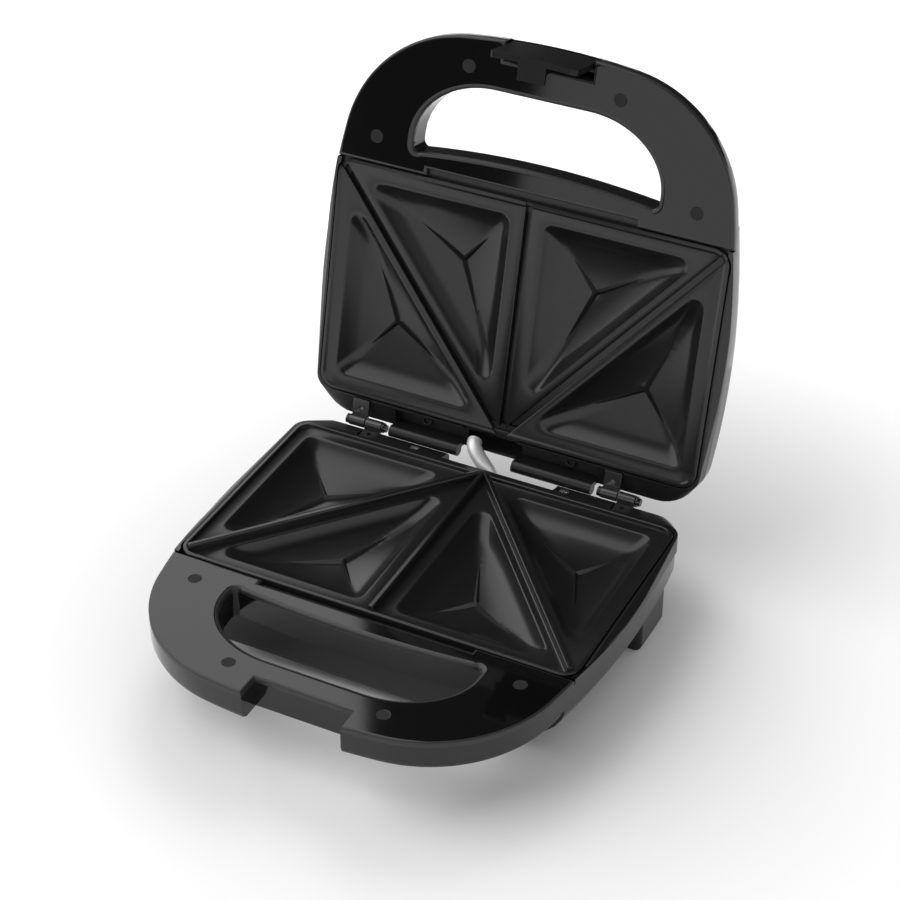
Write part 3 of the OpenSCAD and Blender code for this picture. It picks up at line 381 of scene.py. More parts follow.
def surface_grain():
    """Fine moulded or sprayed texture: a height made of two sizes of noise."""
    tree, given, out = group("Surface grain",
                             [("Scale", "NodeSocketFloat", 900.0), ("Coarse", "NodeSocketFloat", 0.4)],
                             [("Height", "NodeSocketFloat")])
    coords = tree.nodes.new("ShaderNodeTexCoord").outputs["Object"]
    fine = noise(tree, coords, given.outputs["Scale"], 3.0, 0.6)
    wide = noise(tree, coords, maths(tree, "MULTIPLY", given.outputs["Scale"], 0.18), 2.0)
    coarse = maths(tree, "MULTIPLY", wide, given.outputs["Coarse"])
    tree.links.new(maths(tree, "ADD", fine, coarse), out.inputs[0])
    return tree


def handling_marks():
    """Roughness that drifts a little over a handled surface."""
    tree, given, out = group("Handling marks",
                             [("Roughness", "NodeSocketFloat", 0.1), ("Amount", "NodeSocketFloat", 0.04)],
                             [("Roughness", "NodeSocketFloat")])
    coords = tree.nodes.new("ShaderNodeTexCoord").outputs["Object"]
    smear = noise(tree, coords, 22.0, 4.0, 0.62)
    drift = maths(tree, "MULTIPLY", maths(tree, "SUBTRACT", smear, 0.5), given.outputs["Amount"])
    tree.links.new(maths(tree, "ADD", given.outputs["Roughness"], drift), out.inputs[0])
    return tree


def colour_drift():
    """A colour that drifts slightly lighter and darker, with fine specks."""
    tree, given, out = group("Colour drift",
                             [("Colour", "NodeSocketColor", (0.02, 0.02, 0.02, 1)),
                              ("Amount", "NodeSocketFloat", 0.2)],
                             [("Colour", "NodeSocketColor")])
    coords = tree.nodes.new("ShaderNodeTexCoord").outputs["Object"]
    wide = noise(tree, coords, 9.0, 3.0)
    speck = noise(tree, coords, 1500.0, 1.0)
    mixed = maths(tree, "ADD", maths(tree, "MULTIPLY", wide, 0.5), maths(tree, "MULTIPLY", speck, 0.5))
    drift = maths(tree, "MULTIPLY", maths(tree, "SUBTRACT", mixed, 0.5), given.outputs["Amount"])
    level = maths(tree, "ADD", 1.0, drift)
    scaled = tree.nodes.new("ShaderNodeVectorMath")
    scaled.operation = "SCALE"
    tree.links.new(given.outputs["Colour"], scaled.inputs[0])
    tree.links.new(level, scaled.inputs["Scale"])
    tree.links.new(scaled.outputs[0], out.inputs[0])
    return tree


GROUPS = {}


def shared(make):
    """A shared node group, made the first time it is asked for."""
    if make.__name__ not in GROUPS:
        GROUPS[make.__name__] = make()
    return GROUPS[make.__name__]


def finish_of(name, base, roughness, marks=0.04, drift=0.15, grain=900.0, bump=0.02,
              metallic=0.0, ior=1.5, bump_mm=0.05):
    """A material: colour drift, handling marks and fine grain on one Principled shader."""
    material = bpy.data.materials.new(name)
    material.use_nodes = True
    tree = material.node_tree
    shader = tree.nodes["Principled BSDF"]
    shader.inputs["Metallic"].default_value = metallic
    shader.inputs["IOR"].default_value = ior
    tint = tree.nodes.new("ShaderNodeGroup")
    tint.node_tree = shared(colour_drift)
    tint.inputs["Colour"].default_value = (*base, 1)
    tint.inputs["Amount"].default_value = drift
    tree.links.new(tint.outputs[0], shader.inputs["Base Color"])
    rough = tree.nodes.new("ShaderNodeGroup")
    rough.node_tree = shared(handling_marks)
    rough.inputs["Roughness"].default_value = roughness
    rough.inputs["Amount"].default_value = marks
    tree.links.new(rough.outputs[0], shader.inputs["Roughness"])
    relief = tree.nodes.new("ShaderNodeGroup")
    relief.node_tree = shared(surface_grain)
    relief.inputs["Scale"].default_value = grain
    bumper = tree.nodes.new("ShaderNodeBump")
    bumper.inputs["Strength"].default_value = bump
    bumper.inputs["Distance"].default_value = bump_mm * MM
    tree.links.new(relief.outputs[0], bumper.inputs["Height"])
    tree.links.new(bumper.outputs[0], shader.inputs["Normal"])
    return material


def finishes(context):
    """Every material of the toaster by name, made once."""
    c = context.scene.toaster_colours
    if "Polished black" not in bpy.data.materials:
        finish_of("Polished black", c.gloss, 0.045, marks=0.03, grain=260.0, bump=0.05,
                  bump_mm=0.02, ior=1.52)
        finish_of("Housing black", c.gloss, 0.11, marks=0.05, grain=500.0, bump=0.06, bump_mm=0.03)
        finish_of("Satin black", c.satin, 0.36, marks=0.06, grain=2600.0, bump=0.22, bump_mm=0.05)
        finish_of("Non-stick coating", c.coating, 0.25, marks=0.08, drift=0.5, grain=1900.0, bump=0.18,
                  bump_mm=0.05, ior=1.48)
        finish_of("Screw cap grey", c.plug, 0.55, grain=2600.0, bump=0.2, ior=1.22)
        finish_of("Brushed steel", c.steel, 0.24, marks=0.1, grain=1500.0, bump=0.12, metallic=1.0)
        # Rougher satin bead round the covers' lips; its lighter grey is a painted highlight along the edges
        finish_of("Cover edge", (0.02, 0.02, 0.0205), 0.42, marks=0.05, grain=2000.0, bump=0.12)
        finish_of("Latch black", (0.0035, 0.0035, 0.0037), 0.3, marks=0.05, grain=900.0, bump=0.05, ior=1.34)
        finish_of("Blackened steel", (0.012, 0.012, 0.013), 0.3, marks=0.1, grain=1500.0, bump=0.12, ior=1.8)
        finish_of("Dark pin steel", (0.07, 0.07, 0.072), 0.3, marks=0.1, grain=1500.0, bump=0.1, metallic=1.0)
        finish_of("Satin steel", (0.72, 0.72, 0.72), 0.38, marks=0.08, grain=1800.0, bump=0.1, metallic=0.5)
        finish_of("Sheet steel", (0.5, 0.5, 0.5), 0.35, marks=0.1, grain=900.0, bump=0.15, metallic=1.0)
        finish_of("Element sheath", (0.16, 0.16, 0.155), 0.42, marks=0.1, grain=900.0, bump=0.2, metallic=1.0)
        finish_of("Black rubber", c.rubber, 0.7, grain=1800.0, bump=0.35)
        finish_of("Ceramic", (0.62, 0.58, 0.5), 0.5, grain=1500.0, bump=0.2)
        finish_of("Terminal white", (0.72, 0.71, 0.68), 0.42, grain=1200.0, bump=0.1)
        finish_of("Silicone wire", (0.4, 0.05, 0.03), 0.45, grain=1500.0, bump=0.15)
        finish_of("Board", (0.3, 0.22, 0.08), 0.6, grain=2000.0, bump=0.2)
        finish_of("Red lens", c.lens, 0.08, grain=300.0, bump=0.03)
    return bpy.data.materials


NODE_FINISH = {
    "Housing black": ["lower_shell", "upper_shell", "cord_gland"],
    "Latch black": ["latch_clip"],
    "Polished black": ["lower_handle_cover", "upper_handle_cover"],
    "Satin black": ["lower_frame", "upper_frame"],
    "Non-stick coating": ["lower_plate", "upper_plate"],
    "Screw cap grey": ["lower_screw_plugs", "upper_screw_plugs"],
    "Brushed steel": ["latch_pin", "lower_plate_screws", "upper_plate_screws", "lower_cover_screws",
                      "upper_cover_screws", "lower_case_screws", "upper_case_screws", "lower_hinge_screws",
                      "upper_hinge_screws", "frame_screws", "conduit", "latch_spring"],
    "Blackened steel": ["lower_hinge_straps", "upper_hinge_straps"],
    "Dark pin steel": ["hinge_pins"],
    "Sheet steel": ["lower_reflector", "upper_reflector", "lower_clamps", "upper_clamps"],
    "Element sheath": ["lower_heater", "upper_heater"],
    "Black rubber": ["foot_pads"],
    "Ceramic": ["thermostat", "thermal_fuse"],
    "Terminal white": ["terminal_block"],
    "Silicone wire": ["lower_wiring", "upper_wiring"],
    "Board": ["lamp_board"],
    "Red lens": ["indicator_lenses"],
}
# Widths of the rounded edges, in millimetres, and what the shading counts as an edge, in degrees
EDGE_BEVEL = {"lower_shell": 0.5, "upper_shell": 0.5, "lower_frame": 0.35, "upper_frame": 0.35,
              "latch_clip": 0.4, "lower_hinge_straps": 0.2, "upper_hinge_straps": 0.2,
              "foot_pads": 0.3, "indicator_lenses": 0.25, "hinge_pins": 0.2, "cord_gland": 0.3,
              "frame_screws": 0.15}
BEVEL_ANGLE, SPLIT_ANGLE = 38, 32
WELD_MM = 0.004
FLAT_WEIGHT = 90           # how much a face's area counts in its corners' normals


class TOASTER_OT_finishes(bpy.types.Operator):
    """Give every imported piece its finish, soft edges and smooth shading"""
    bl_idname = "toaster.finishes"
    bl_label = "Finish the packed pieces"

    def execute(self, context):
        materials = finishes(context)
        for name, nodes in NODE_FINISH.items():
            for node in nodes:
                obj = frame["nodes"][node]
                give(obj, materials[name])
                obj.data.polygons.foreach_set("use_smooth", np.ones(len(obj.data.polygons), bool))
                weld = obj.modifiers.new("Weld", "WELD")
                weld.merge_threshold = WELD_MM * MM
                if node in EDGE_BEVEL:
                    bevel = obj.modifiers.new("Edges", "BEVEL")
                    bevel.width = EDGE_BEVEL[node] * MM
                    bevel.segments = 2
                    bevel.limit_method = "ANGLE"
                    bevel.angle_limit = math.radians(BEVEL_ANGLE)
                split = obj.modifiers.new("Split", "EDGE_SPLIT")
                split.split_angle = math.radians(SPLIT_ANGLE)
                even = obj.modifiers.new("Even shading", "WEIGHTED_NORMAL")
                even.mode = "FACE_AREA"
                even.weight = FLAT_WEIGHT
        return {"FINISHED"}


# ---- cooking plates ---------------------------------------------------------------

def pocket_corners(s):
    """Corners of the first pocket's triangle: the right angle first, then along x, then along y."""
    half_w = s.plate_w / 2
    diagonal = math.hypot(half_w, s.plate_d)
    leg_x = half_w - s.pocket_land * (1 + half_w / s.plate_d) - s.rib_land * diagonal / s.plate_d
    leg_y = leg_x * s.plate_d / half_w
    corner = np.array([s.pocket_land, FRONT_Y + s.pocket_land])
    return np.array([corner, corner + [leg_x, 0], corner + [0, leg_y]])


def pocket_rim(triangle, radius):
    """The rounded triangle seen from its centroid: angles and distances.

    The rim is where the distance to a triangle drawn in by the corner radius equals that radius.
    """
    centre = triangle.mean(0)
    edges = np.roll(triangle, -1, 0) - triangle
    edges /= np.linalg.norm(edges, axis=1)[:, None]
    normals = np.c_[-edges[:, 1], edges[:, 0]]
    offsets = (normals * triangle).sum(1) + radius
    inner = []
    for k in range(3):
        pair = np.array([normals[k - 1], normals[k]])
        inner.append(np.linalg.solve(pair, [offsets[k - 1], offsets[k]]))
    inner = np.array(inner)
    arms = [math.atan2(*(v - centre)[::-1]) for v in triangle]
    near = np.radians([0.6, 1.3, 2.2, 3.2, 4.4, 5.8, 7.5, 9.5, 12, 15, 19, 24, 30, 37, 45, 54])
    angles = np.concatenate([[a + d for d in np.concatenate([-near, [0], near])] for a in arms])
    angles = np.unique(np.round(np.mod(angles, 2 * math.pi), 5))
    ray = np.c_[np.cos(angles), np.sin(angles)]
    low, high = np.zeros(len(angles)), np.full(len(angles), 200.0)
    for _ in range(40):
        mid = (low + high) / 2
        p = centre + ray * mid[:, None]
        out = -(p @ normals.T - offsets)
        far_out = out.max(1)
        gap = np.full(len(p), 1e9)
        for k in range(3):
            a, b = inner[k], inner[(k + 1) % 3]
            t = np.clip(((p - a) @ (b - a)) / ((b - a) @ (b - a)), 0, 1)
            gap = np.minimum(gap, np.linalg.norm(p - a - t[:, None] * (b - a), axis=1))
        within = (far_out <= 0) | (gap <= radius)
        low, high = np.where(within, mid, low), np.where(within, high, mid)
    return centre, angles, low


# Shares of the way from a pocket's rim to its apex: its rings, then the parts of its depth curve
POCKET_LEVELS = [0.0, 0.01, 0.02, 0.031, 0.045, 0.065, 0.09, 0.12, 0.16, 0.2,
                 0.245, 0.29, 0.34, 0.4, 0.47, 0.55, 0.64, 0.74, 0.84, 0.93]
WALL_SHARE, WALL_END, CURVE_SHARE, FILLET_SHARE = 0.36, 0.3, 0.54, 0.045
ARM_START, ARM_SLOPE = 0.5, 1.5       # share where a ridge starts, and the slope of its sides
ARM_BACK = 0.3                        # how far a ridge reaches back over the apex, in millimetres
GROOVE_Z = 5.2                        # bottom of the upper plate's grooves


def pocket_depth(share):
    """Depth over full depth at a share of the way from the rim to the apex.

    A rounded edge, then the sum of a short parabola (the wall), a long one and a straight slope.
    """
    share = np.clip(share, 0, 1)
    eased = np.where(share < FILLET_SHARE, share ** 2 / (2 * FILLET_SHARE), share - FILLET_SHARE / 2)
    eased = eased / (1 - FILLET_SHARE / 2)
    wall = 1 - (1 - np.clip(eased / WALL_END, 0, 1)) ** 2
    return WALL_SHARE * wall + CURVE_SHARE * (1 - (1 - eased) ** 2) + (1 - WALL_SHARE - CURVE_SHARE) * eased


class Pocket:
    """One pocket: its rim, its share-to-the-apex coordinate and the three ridges on its floor."""

    def __init__(self, triangle, radius, land, floor):
        self.centre, self.angles, self.reach = pocket_rim(triangle, radius)
        self.land, self.deep = land, floor - land
        self.arms = [v - self.centre for v in triangle]

    def share(self, p):
        """Share of the way from the rim (0) to the apex (1), measured along a ray from the apex."""
        d = p - self.centre
        turn = np.mod(np.arctan2(d[:, 1], d[:, 0]), 2 * math.pi)
        reach = np.interp(turn, self.angles, self.reach, period=2 * math.pi)
        return 1 - np.hypot(d[:, 0], d[:, 1]) / reach

    def arm_frame(self, arm):
        """A ridge's direction, the direction across it and the rim's distance along it."""
        ahead = unit(arm)
        turn = angle_of(ahead) % (2 * math.pi)
        reach = np.interp(turn, self.angles, self.reach, period=2 * math.pi)
        return ahead, np.array([-ahead[1], ahead[0]]), reach

    def floor(self, p):
        """Height of the pocket without its ridges."""
        return self.land + self.deep * pocket_depth(self.share(p))

    def ridge_top(self):
        """Level of the ridges: the floor where a ridge starts."""
        return self.land + self.deep * float(pocket_depth(np.array([ARM_START]))[0])

    def height(self, p):
        """Floor with three straight ridges of level top that fade out towards the corners."""
        z = self.floor(p)
        for arm in self.arms:
            ahead, side, _ = self.arm_frame(arm)
            d = p - self.centre
            ridge = self.ridge_top() + ARM_SLOPE * np.abs(d @ side)
            z = np.where(d @ ahead > -ARM_BACK, np.minimum(z, ridge), z)
        return z

    def rings(self):
        """The rim drawn in towards the apex, once for each level."""
        ray = np.c_[np.cos(self.angles), np.sin(self.angles)]
        return [self.centre + ray * (self.reach * (1 - k))[:, None] for k in POCKET_LEVELS]

    def ridge_lines(self):
        """Crest and foot lines of the three ridges."""
        lines = []
        for arm in self.arms:
            ahead, side, reach = self.arm_frame(arm)
            t = reach * (1 - ARM_START) * np.linspace(1, 0.06, 12)
            lines.append(self.centre + ahead * t[:, None])
            q = np.linspace(0, 4, 401)
            for s in (-1, 1):
                foot = []
                for at in t[1:]:
                    p = self.centre + ahead * at + s * side * q[:, None]
                    gap = self.floor(p) - (self.ridge_top() + ARM_SLOPE * q)
                    foot.append(p[int(np.argmax(gap < 0))])
                lines.append(np.vstack([[self.centre + ahead * t[0]], foot]))
        return lines


def rounded_rect(w, d, r, count=13):
    """Counter-clockwise rectangle with round corners."""
    parts = []
    for k, (sx, sy) in enumerate([(1, 1), (-1, 1), (-1, -1), (1, -1)]):
        centre = [sx * (w / 2 - r), sy * (d / 2 - r)]
        parts.append(arc(centre, r, k * math.pi / 2, (k + 1) * math.pi / 2, count))
    return np.vstack(parts)


def depth_in_plate(s, p):
    """Distance of points inside the plate's rounded outline."""
    q = np.abs(p) - [s.plate_w / 2 - s.plate_corner, s.plate_d / 2 - s.plate_corner]
    outside = np.linalg.norm(np.maximum(q, 0), axis=1) + np.minimum(q.max(1), 0)
    return s.plate_corner - outside


def bars(s):
    """Start, direction and length of the three dividing lines, from the middle of the rear edge."""
    start = np.array([0.0, s.plate_d / 2])
    ends = [np.array([0.0, -s.plate_d / 2]), np.array([s.plate_w / 2, -s.plate_d / 2]),
            np.array([-s.plate_w / 2, -s.plate_d / 2])]
    return [(start, unit(end - start), np.linalg.norm(end - start)) for end in ends]


def bar_distance(s, p):
    """Distance of points to the nearest dividing line."""
    best = np.full(len(p), 1e9)
    for start, ahead, reach in bars(s):
        t = np.clip((p - start) @ ahead, 0, reach)
        best = np.minimum(best, np.linalg.norm(p - start - t[:, None] * ahead, axis=1))
    return best


def plate_surface(s, half):
    """Points, triangles and heights of a plate's cooking side.

    Heights are the land, cut by pockets, raised by the rim and by ribs (lower)
    or lowered by grooves (upper); every bend has its own line in the triangulation.
    """
    land = LAND[half]
    rim_steps = [0, 0.25, 0.7, s.rim_w - 0.6, s.rim_w - 0.1, s.rim_w + 0.35, s.rim_w + 0.9]
    rim_z = [PART_GAP + 0.45, PART_GAP + 0.1, PART_GAP, PART_GAP, PART_GAP + 0.25, land - 0.2, land]
    half_rib = s.rib_w / 2
    if half == "lower":
        bar_steps = [0, half_rib - 0.75, half_rib - 0.3, half_rib, half_rib + 0.3, half_rib + 0.8]
        top = land - s.rib_h
        bar_z = [top, top, top + 0.25, top + 0.8, land - 0.3, land]
    else:
        wide = half_rib + s.groove_gap / 2
        bar_steps = [0, wide - 0.35, wide - 0.2, wide - 0.05, wide + 0.2, wide + 0.45]
        bar_z = [GROOVE_Z, GROOVE_Z, GROOVE_Z - 0.5, land + 0.35, land + 0.08, land]
    loops = [rounded_rect(s.plate_w - 2 * e, s.plate_d - 2 * e, max(s.plate_corner - e, 3))
             for e in rim_steps]
    lines = []
    for start, ahead, reach in bars(s):
        side = np.array([-ahead[1], ahead[0]])
        for q in bar_steps:
            for sign in ((1, -1) if q else (1,)):
                a = start + side * q * sign
                lines.append(np.array([a, a + ahead * reach]))
    first = pocket_corners(s)
    triangles = []
    for sx, order in ((1, [0, 1, 2]), (-1, [0, 2, 1])):
        near = first * [sx, 1]
        away = ([s.plate_w / 2, 0] - first) * [sx, 1]
        triangles += [near[order], away[order]]
    pockets = [Pocket(t, s.pocket_corner, land, s.pocket_floor) for t in triangles]
    for pocket in pockets:
        rings = pocket.rings()
        loops += rings
        loops.append(pocket.centre + (rings[0] - pocket.centre) * 1.02)
        lines += pocket.ridge_lines()
    flat, tris = triangulate(loops, lines, [tuple(p.centre) for p in pockets])
    inside_plate = depth_in_plate(s, flat) > -0.01
    tris = tris[inside_plate[tris].all(1)]
    edge = depth_in_plate(s, flat)
    ride_in = np.clip((edge - (s.rim_w - 0.5)) / 0.9, 0, 1)
    bar = np.interp(bar_distance(s, flat), bar_steps, bar_z)
    if half == "lower":
        z = np.minimum(np.interp(edge, rim_steps, rim_z), land + (bar - land) * ride_in)
    else:
        rim = np.interp(edge, rim_steps, rim_z)
        z = rim + np.where(edge < s.rim_w + 0.4, np.minimum(bar - land, 2.4 - land), bar - land)
    for pocket in pockets:
        z = np.where(pocket.share(flat) > -1e-6, pocket.height(flat), z)
    return flat, tris, z


def plate_piece(name, s, half):
    """A closed casting: the cooking side, the same side set back by the wall, and the edge between them."""
    land = LAND[half]
    flat, tris, z = plate_surface(s, half)
    count = len(flat)
    back = np.maximum(z, land) + s.plate_wall
    ab = np.vstack([tris[:, [0, 1]], tris[:, [1, 2]], tris[:, [2, 0]]])
    keys = {tuple(e) for e in ab.tolist()}
    rim = [e for e in ab.tolist() if (e[1], e[0]) not in keys]
    points = np.vstack([np.c_[flat, z], np.c_[flat, back]])
    faces = tris.tolist() + (tris[:, ::-1] + count).tolist()
    faces += [[b, a, a + count, b + count] for a, b in rim]
    return build(name, to_row(half, points), faces, 24.0)


class TOASTER_OT_plates(bpy.types.Operator):
    """Build both cast cooking plates"""
    bl_idname = "toaster.plates"
    bl_label = "Cooking plates"

    def execute(self, context):
        s = millimetres(context)
        for half, body in zip(HALVES, ("base", "lid")):
            plate = plate_piece(f"{half}_cast_plate", s, half)
            give(plate, finishes(context)["Non-stick coating"])
            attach(plate, body)
            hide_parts(f"{half}_plate")
        return {"FINISHED"}


# ---- handle covers ------------------------------------------------------------------

CLEAR_OF_CORNER = 3.0      # so that the drawn-in edge never crosses itself
EDGE_COSINE = 0.985        # steeper faces of a cover than this are its satin edge, lighter grey than the cover as a painted highlight
PLUG_HOLE_R = 3.35


def cover_loop(half):
    """Outer edge of a handle cover: front of the outline with the latch notch, drip slot behind."""
    whole = outline()
    rear = FRONT_Y - PLATE_GAP
    right = whole[(whole[:, 0] >= 0) & (whole[:, 1] < rear - CLEAR_OF_CORNER)]
    side_x = np.interp(rear, whole[: len(whole) // 2, 1], whole[: len(whole) // 2, 0])
    right = np.vstack([right, [side_x, rear]])
    front = np.vstack([right[:0:-1] * [-1, 1], right])
    w, d = NOTCH[half]
    x0, x1 = LATCH_SHIFT - w / 2, LATCH_SHIFT + w / 2
    left_part = front[front[:, 0] < x0 - CLEAR_OF_CORNER]
    right_part = front[front[:, 0] > x1 + CLEAR_OF_CORNER]
    y0, y1 = np.interp([x0, x1], front[:, 0], front[:, 1])
    notch = [[x0, y0], [x0, TIP_Y + d], [x1, TIP_Y + d], [x1, y1]]
    side, slot_y = SLOT_W / 2, FRONT_Y - SLOT_D
    slot = [[side, rear], [side, slot_y], [-side, slot_y], [-side, rear]]
    return np.vstack([left_part, notch, right_part, slot])


def lip_profile(width, under, face, drop=1.0):
    """A wall that rolls over into the face: a quarter of an ellipse of the lip's width."""
    tall = width * drop
    roll = [(width * (1 - math.cos(t)), face + tall * (1 - math.sin(t)))
            for t in np.linspace(0, math.pi / 2, 7)]
    return [(0.0, under)] + roll + [(width + 0.15, face)]


class TOASTER_OT_covers(bpy.types.Operator):
    """Build both glossy handle covers"""
    bl_idname = "toaster.covers"
    bl_label = "Handle covers"

    def execute(self, context):
        s = millimetres(context)
        under = PART_GAP + s.cover_t
        for half, body in zip(HALVES, ("base", "lid")):
            loops = [cover_loop(half), opening()] + [circle(x, y, PLUG_HOLE_R) for x, y in COVER_SPOTS]
            profiles = [lip_profile(s.cover_lip, under, PART_GAP, 0.8),
                        lip_profile(s.opening_lip, under, PART_GAP, 0.6)]
            profiles += [lip_profile(0.2, under, PART_GAP)] * len(COVER_SPOTS)
            points, faces = prism(loops, profiles)
            cover = build(f"{half}_polished_cover", to_row(half, points), faces, 40.0)
            give(cover, finishes(context)["Polished black"])
            # Second finish for the steep lip faces: a satin bead whose lighter grey is a painted highlight
            cover.data.materials.append(finishes(context)["Cover edge"])
            normals = np.array([polygon.normal for polygon in cover.data.polygons])
            flat = unit(to_row(half, [[0, 0, -1]])[0] - to_row(half, [[0, 0, 0]])[0])
            on_highlight_edge = np.abs(normals @ flat) < EDGE_COSINE
            cover.data.polygons.foreach_set("material_index", on_highlight_edge.astype(np.int32))
            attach(cover, body)
            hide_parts(f"{half}_handle_cover")
        return {"FINISHED"}


# ---- conduit --------------------------------------------------------------------------

def bezier(a, b, c, d, count):
    """Points on a cubic Bezier curve from a to d, drawn towards b and c."""
    t = np.linspace(0, 1, count)[:, None]
    return (1 - t) ** 3 * a + 3 * (1 - t) ** 2 * t * b + 3 * (1 - t) * t ** 2 * c + t ** 3 * d


# Strip that closes the lid's rear wall behind the conduit, where the wall is cut away for it,
# and the faces of a block whose corners run through z, then y, then x
LIP_X, LIP_Y, LIP_Z = (-22.0, 10.0), (75.2, 76.9), (3.4, 12.2)
BLOCK_FACES = [(0, 1, 3, 2), (4, 6, 7, 5), (0, 4, 5, 1), (2, 3, 7, 6), (0, 2, 6, 4), (1, 5, 7, 3)]


class TOASTER_OT_conduit(bpy.types.Operator):
    """Build the steel conduit that carries the wires into the lid"""
    bl_idname = "toaster.conduit"
    bl_label = "Conduit"

    def execute(self, context):
        s = millimetres(context)
        low = np.array([2.0, s.plate_d / 2 - 4, -18.0])
        turn = np.array([0.0, HINGE_Y - 6, HINGE_Z - 6])
        top = np.array([-13.6, HINGE_Y + 2.5, HINGE_Z + 7])
        path = np.vstack([bezier(low, low + [0, 13, 0], turn - [-1.5, -1, 10], turn, 40),
                          bezier(turn, turn + [-2, -0.5, 6], top + [1, -7.5, -1.5], top, 40)[1:]])
        points, faces = sweep(path, s.conduit_r, 40)
        tube = build("steel_conduit", to_frame(points), faces)
        give(tube, finishes(context)["Satin steel"])
        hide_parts("conduit")
        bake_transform(tube)
        corners = [[x, y, z] for x in LIP_X for y in LIP_Y for z in LIP_Z]
        lip = build("lid_rear_lip", to_row("upper", corners), BLOCK_FACES)
        give(lip, finishes(context)["Satin black"])
        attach(lip, "lid")
        return {"FINISHED"}


# ---- light, floor and camera -------------------------------------------------------------

CAMERA_AZ, CAMERA_EL = math.radians(26.66), math.radians(35.54)
CAMERA_AT = (10.886, 45.168, 1227.25)     # right, up and back of the plates' middle, in millimetres
FOCAL_PX, PICTURE_PX, SENSOR_MM = 2417.34, 900, 36.0
STUDIO_DARK, AMBIENT = 0.04, 0.56
# Middle azimuth from the front and width, lowest and highest rise, softness (degrees), brightness
STUDIO_PANELS = [
    (-95.3, 110.7, 12, 110, 0.15, 1.75),
    (38, 119, -40, 40, 0.15, 1.05),
    (-29, 3, -30, 20, 2.5, 0.45),
]
# Floor: half its side in metres, its paint, its even glow, and the painted light added to that between two
# distances from the middle, which lightens the outer shadow
FLOOR_HALF, FLOOR_PAINT, FLOOR_GLOW = 1.6, 0.85, 0.01
OUTER_PAINTED_LIGHT, PAINTED_LIGHT_RANGE = 0.28, (0.12, 0.42)
# Name, place and size in metres, and power in watts; the lamps point at LAMPS_AT
LAMPS = [
    ("Side softbox", (-1.0, -0.58, 1.38), (1.7, 1.7), 21),
    ("Rear softbox", (-0.4, 1.09, 1.38), (0.8, 0.8), 7),
]
LAMPS_AT = (0, 0, 0.1)


def camera_axes():
    """Right, up and back directions of the camera."""
    a, e = CAMERA_AZ, CAMERA_EL
    back = np.array([math.sin(a) * math.cos(e), -math.cos(a) * math.cos(e), math.sin(e)])
    right = np.array([math.cos(a), math.sin(a), 0.0])
    return right, np.cross(back, right), back


def softbox(name, place, size, power):
    """An area lamp aimed at LAMPS_AT; the camera and glossy surfaces don't see it."""
    lamp = bpy.data.lights.new(name, "AREA")
    lamp.shape = "RECTANGLE"
    lamp.size, lamp.size_y = size
    lamp.energy = power
    obj = bpy.data.objects.new(name, lamp)
    bpy.context.scene.collection.objects.link(obj)
    back = unit(np.array(place) - np.array(LAMPS_AT))
    right = unit(np.cross([0, 0, 1.0], back))
    obj.matrix_world = turned_to(right, np.cross(back, right), back, place)
    obj.visible_camera = False
    obj.visible_glossy = False


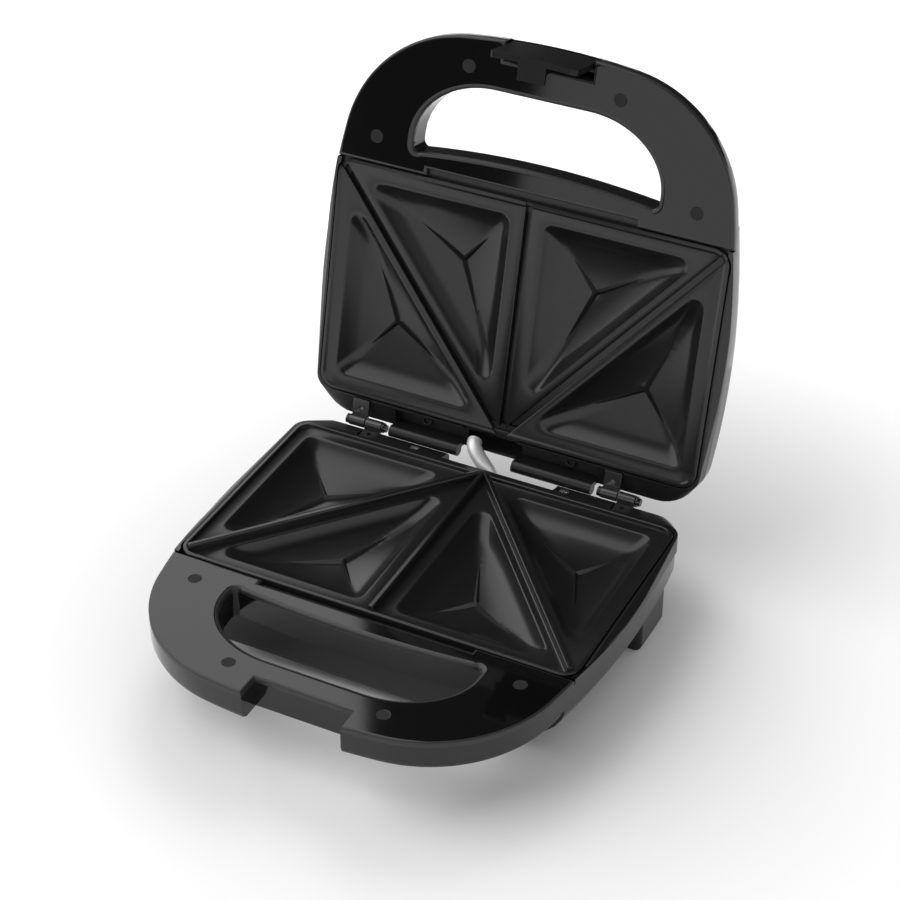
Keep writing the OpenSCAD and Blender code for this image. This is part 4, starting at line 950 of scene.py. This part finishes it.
class TOASTER_OT_stage(bpy.types.Operator):
    """Set the floor, the lamps, the white surroundings and the camera"""
    bl_idname = "toaster.stage"
    bl_label = "Stage"

    def execute(self, context):
        scene = context.scene
        scene.view_settings.view_transform = "Standard"
        right, up, back = camera_axes()
        x, y, z = CAMERA_AT
        at = to_frame(right * x + up * y + back * z)
        data = bpy.data.cameras.new("Camera")
        data.sensor_width = SENSOR_MM
        data.lens = FOCAL_PX / PICTURE_PX * SENSOR_MM
        data.clip_start, data.clip_end = 0.05, 20
        camera = bpy.data.objects.new("Camera", data)
        scene.collection.objects.link(camera)
        camera.matrix_world = turned_to(right, up, back, at)
        scene.camera = camera
        self.surroundings(scene)
        self.floor(scene)
        for lamp in LAMPS:
            softbox(*lamp)
        return {"FINISHED"}

    def surroundings(self, scene):
        """White to camera and transmission rays, a dark studio with panels to gloss, grey to the rest."""
        world = bpy.data.worlds.new("Surroundings")
        scene.world = world
        world.use_nodes = True
        tree = world.node_tree
        split = tree.nodes.new("ShaderNodeSeparateXYZ")
        tree.links.new(tree.nodes.new("ShaderNodeTexCoord").outputs["Generated"], split.inputs[0])
        x, y, z = split.outputs
        azimuth = maths(tree, "ARCTAN2", x, maths(tree, "MULTIPLY", y, -1.0))
        rise = maths(tree, "ARCSINE", z, 0.0)
        studio = STUDIO_DARK
        for panel in STUDIO_PANELS:
            studio = maths(tree, "ADD", studio, self.panel(tree, azimuth, rise, *panel))
        path = tree.nodes.new("ShaderNodeLightPath")
        gloss = path.outputs["Is Glossy Ray"]
        camera = maths(tree, "MAXIMUM", path.outputs["Is Camera Ray"], path.outputs["Is Transmission Ray"])
        level = maths(tree, "MULTIPLY", gloss, maths(tree, "SUBTRACT", studio, AMBIENT))
        level = maths(tree, "ADD", level, AMBIENT)
        level = maths(tree, "MAXIMUM", level, camera)
        tree.links.new(level, tree.nodes["Background"].inputs["Strength"])
        tree.nodes["Background"].inputs["Color"].default_value = (1, 1, 1, 1)

    def panel(self, tree, azimuth, rise, middle, width, low, high, soft, level):
        """Brightness of a soft-edged panel in azimuth from the front and in height, in degrees."""
        turn = maths(tree, "SUBTRACT", azimuth, math.radians(middle))
        turn = maths(tree, "ABSOLUTE", maths(tree, "WRAP", turn, math.pi), 0.0)
        across = self.fade(tree, turn, math.radians(width / 2 + soft), math.radians(width / 2 - soft))
        bottom = self.fade(tree, rise, math.radians(low - 4), math.radians(low + 4))
        top = self.fade(tree, rise, math.radians(high + 12), math.radians(high - 12))
        shape = maths(tree, "MULTIPLY", across, maths(tree, "MULTIPLY", bottom, top))
        return maths(tree, "MULTIPLY", shape, level)

    def fade(self, tree, value, none, full):
        """Smooth step from 0 at one value to 1 at the other."""
        node = tree.nodes.new("ShaderNodeMapRange")
        node.interpolation_type = "SMOOTHSTEP"
        flip = none > full
        tree.links.new(value, node.inputs["Value"])
        node.inputs["From Min"].default_value = full if flip else none
        node.inputs["From Max"].default_value = none if flip else full
        node.inputs["To Min"].default_value = 1.0 if flip else 0.0
        node.inputs["To Max"].default_value = 0.0 if flip else 1.0
        return node.outputs[0]

    def floor(self, scene):
        """A pale floor that keeps the shadow: lit paint plus a glow for camera and glossy rays.

        The glow grows with the distance from the middle: painted light that thins the outer shadow.
        """
        half = FLOOR_HALF
        mesh = bpy.data.meshes.new("Floor")
        corners = [(-half, -half, 0), (half, -half, 0), (half, half, 0), (-half, half, 0)]
        mesh.from_pydata(corners, [], [(0, 1, 2, 3)])
        plane = bpy.data.objects.new("Floor", mesh)
        scene.collection.objects.link(plane)
        material = bpy.data.materials.new("Floor")
        material.use_nodes = True
        tree = material.node_tree
        shader = tree.nodes["Principled BSDF"]
        shader.inputs["Base Color"].default_value = (FLOOR_PAINT, FLOOR_PAINT, FLOOR_PAINT, 1)
        shader.inputs["Roughness"].default_value = 0.9
        shader.inputs["Specular IOR Level"].default_value = 0.0
        path = tree.nodes.new("ShaderNodeLightPath")
        seen = maths(tree, "MAXIMUM", path.outputs["Is Camera Ray"], path.outputs["Is Glossy Ray"])
        away = tree.nodes.new("ShaderNodeVectorMath")
        away.operation = "LENGTH"
        tree.links.new(tree.nodes.new("ShaderNodeNewGeometry").outputs["Position"], away.inputs[0])
        # Painted light: a glow that rises away from the middle and lightens the outer shadow, seen by camera
        # and glossy rays
        glow_and_painted_light = maths(tree, "MULTIPLY", self.fade(tree, away.outputs["Value"], *PAINTED_LIGHT_RANGE), OUTER_PAINTED_LIGHT)
        glow_and_painted_light = maths(tree, "ADD", glow_and_painted_light, FLOOR_GLOW)
        shader.inputs["Emission Color"].default_value = (1, 1, 1, 1)
        tree.links.new(maths(tree, "MULTIPLY", seen, glow_and_painted_light), shader.inputs["Emission Strength"])
        give(plane, material)


class TOASTER_PT_panel(bpy.types.Panel):
    """The steps of the toaster, in order"""
    bl_label = "Sandwich toaster"
    bl_idname = "TOASTER_PT_panel"
    bl_space_type = "VIEW_3D"
    bl_region_type = "UI"
    bl_category = "Toaster"

    def draw(self, context):
        for step in STEPS:
            self.layout.operator(step.bl_idname)


STEPS = (TOASTER_OT_finishes, TOASTER_OT_plates, TOASTER_OT_covers, TOASTER_OT_conduit, TOASTER_OT_stage)
CLASSES = (ToasterSizes, ToasterColours, *STEPS, TOASTER_PT_panel)


def register():
    for cls in CLASSES:
        bpy.utils.register_class(cls)
    bpy.types.Scene.toaster_sizes = bpy.props.PointerProperty(type=ToasterSizes)
    bpy.types.Scene.toaster_colours = bpy.props.PointerProperty(type=ToasterColours)


def unregister():
    del bpy.types.Scene.toaster_colours
    del bpy.types.Scene.toaster_sizes
    for cls in reversed(CLASSES):
        bpy.utils.unregister_class(cls)


def main():
    register()
    bpy.ops.toaster.finishes()
    bpy.ops.toaster.plates()
    bpy.ops.toaster.covers()
    bpy.ops.toaster.conduit()
    bpy.ops.toaster.stage()


if __name__ == "__main__":
    main()
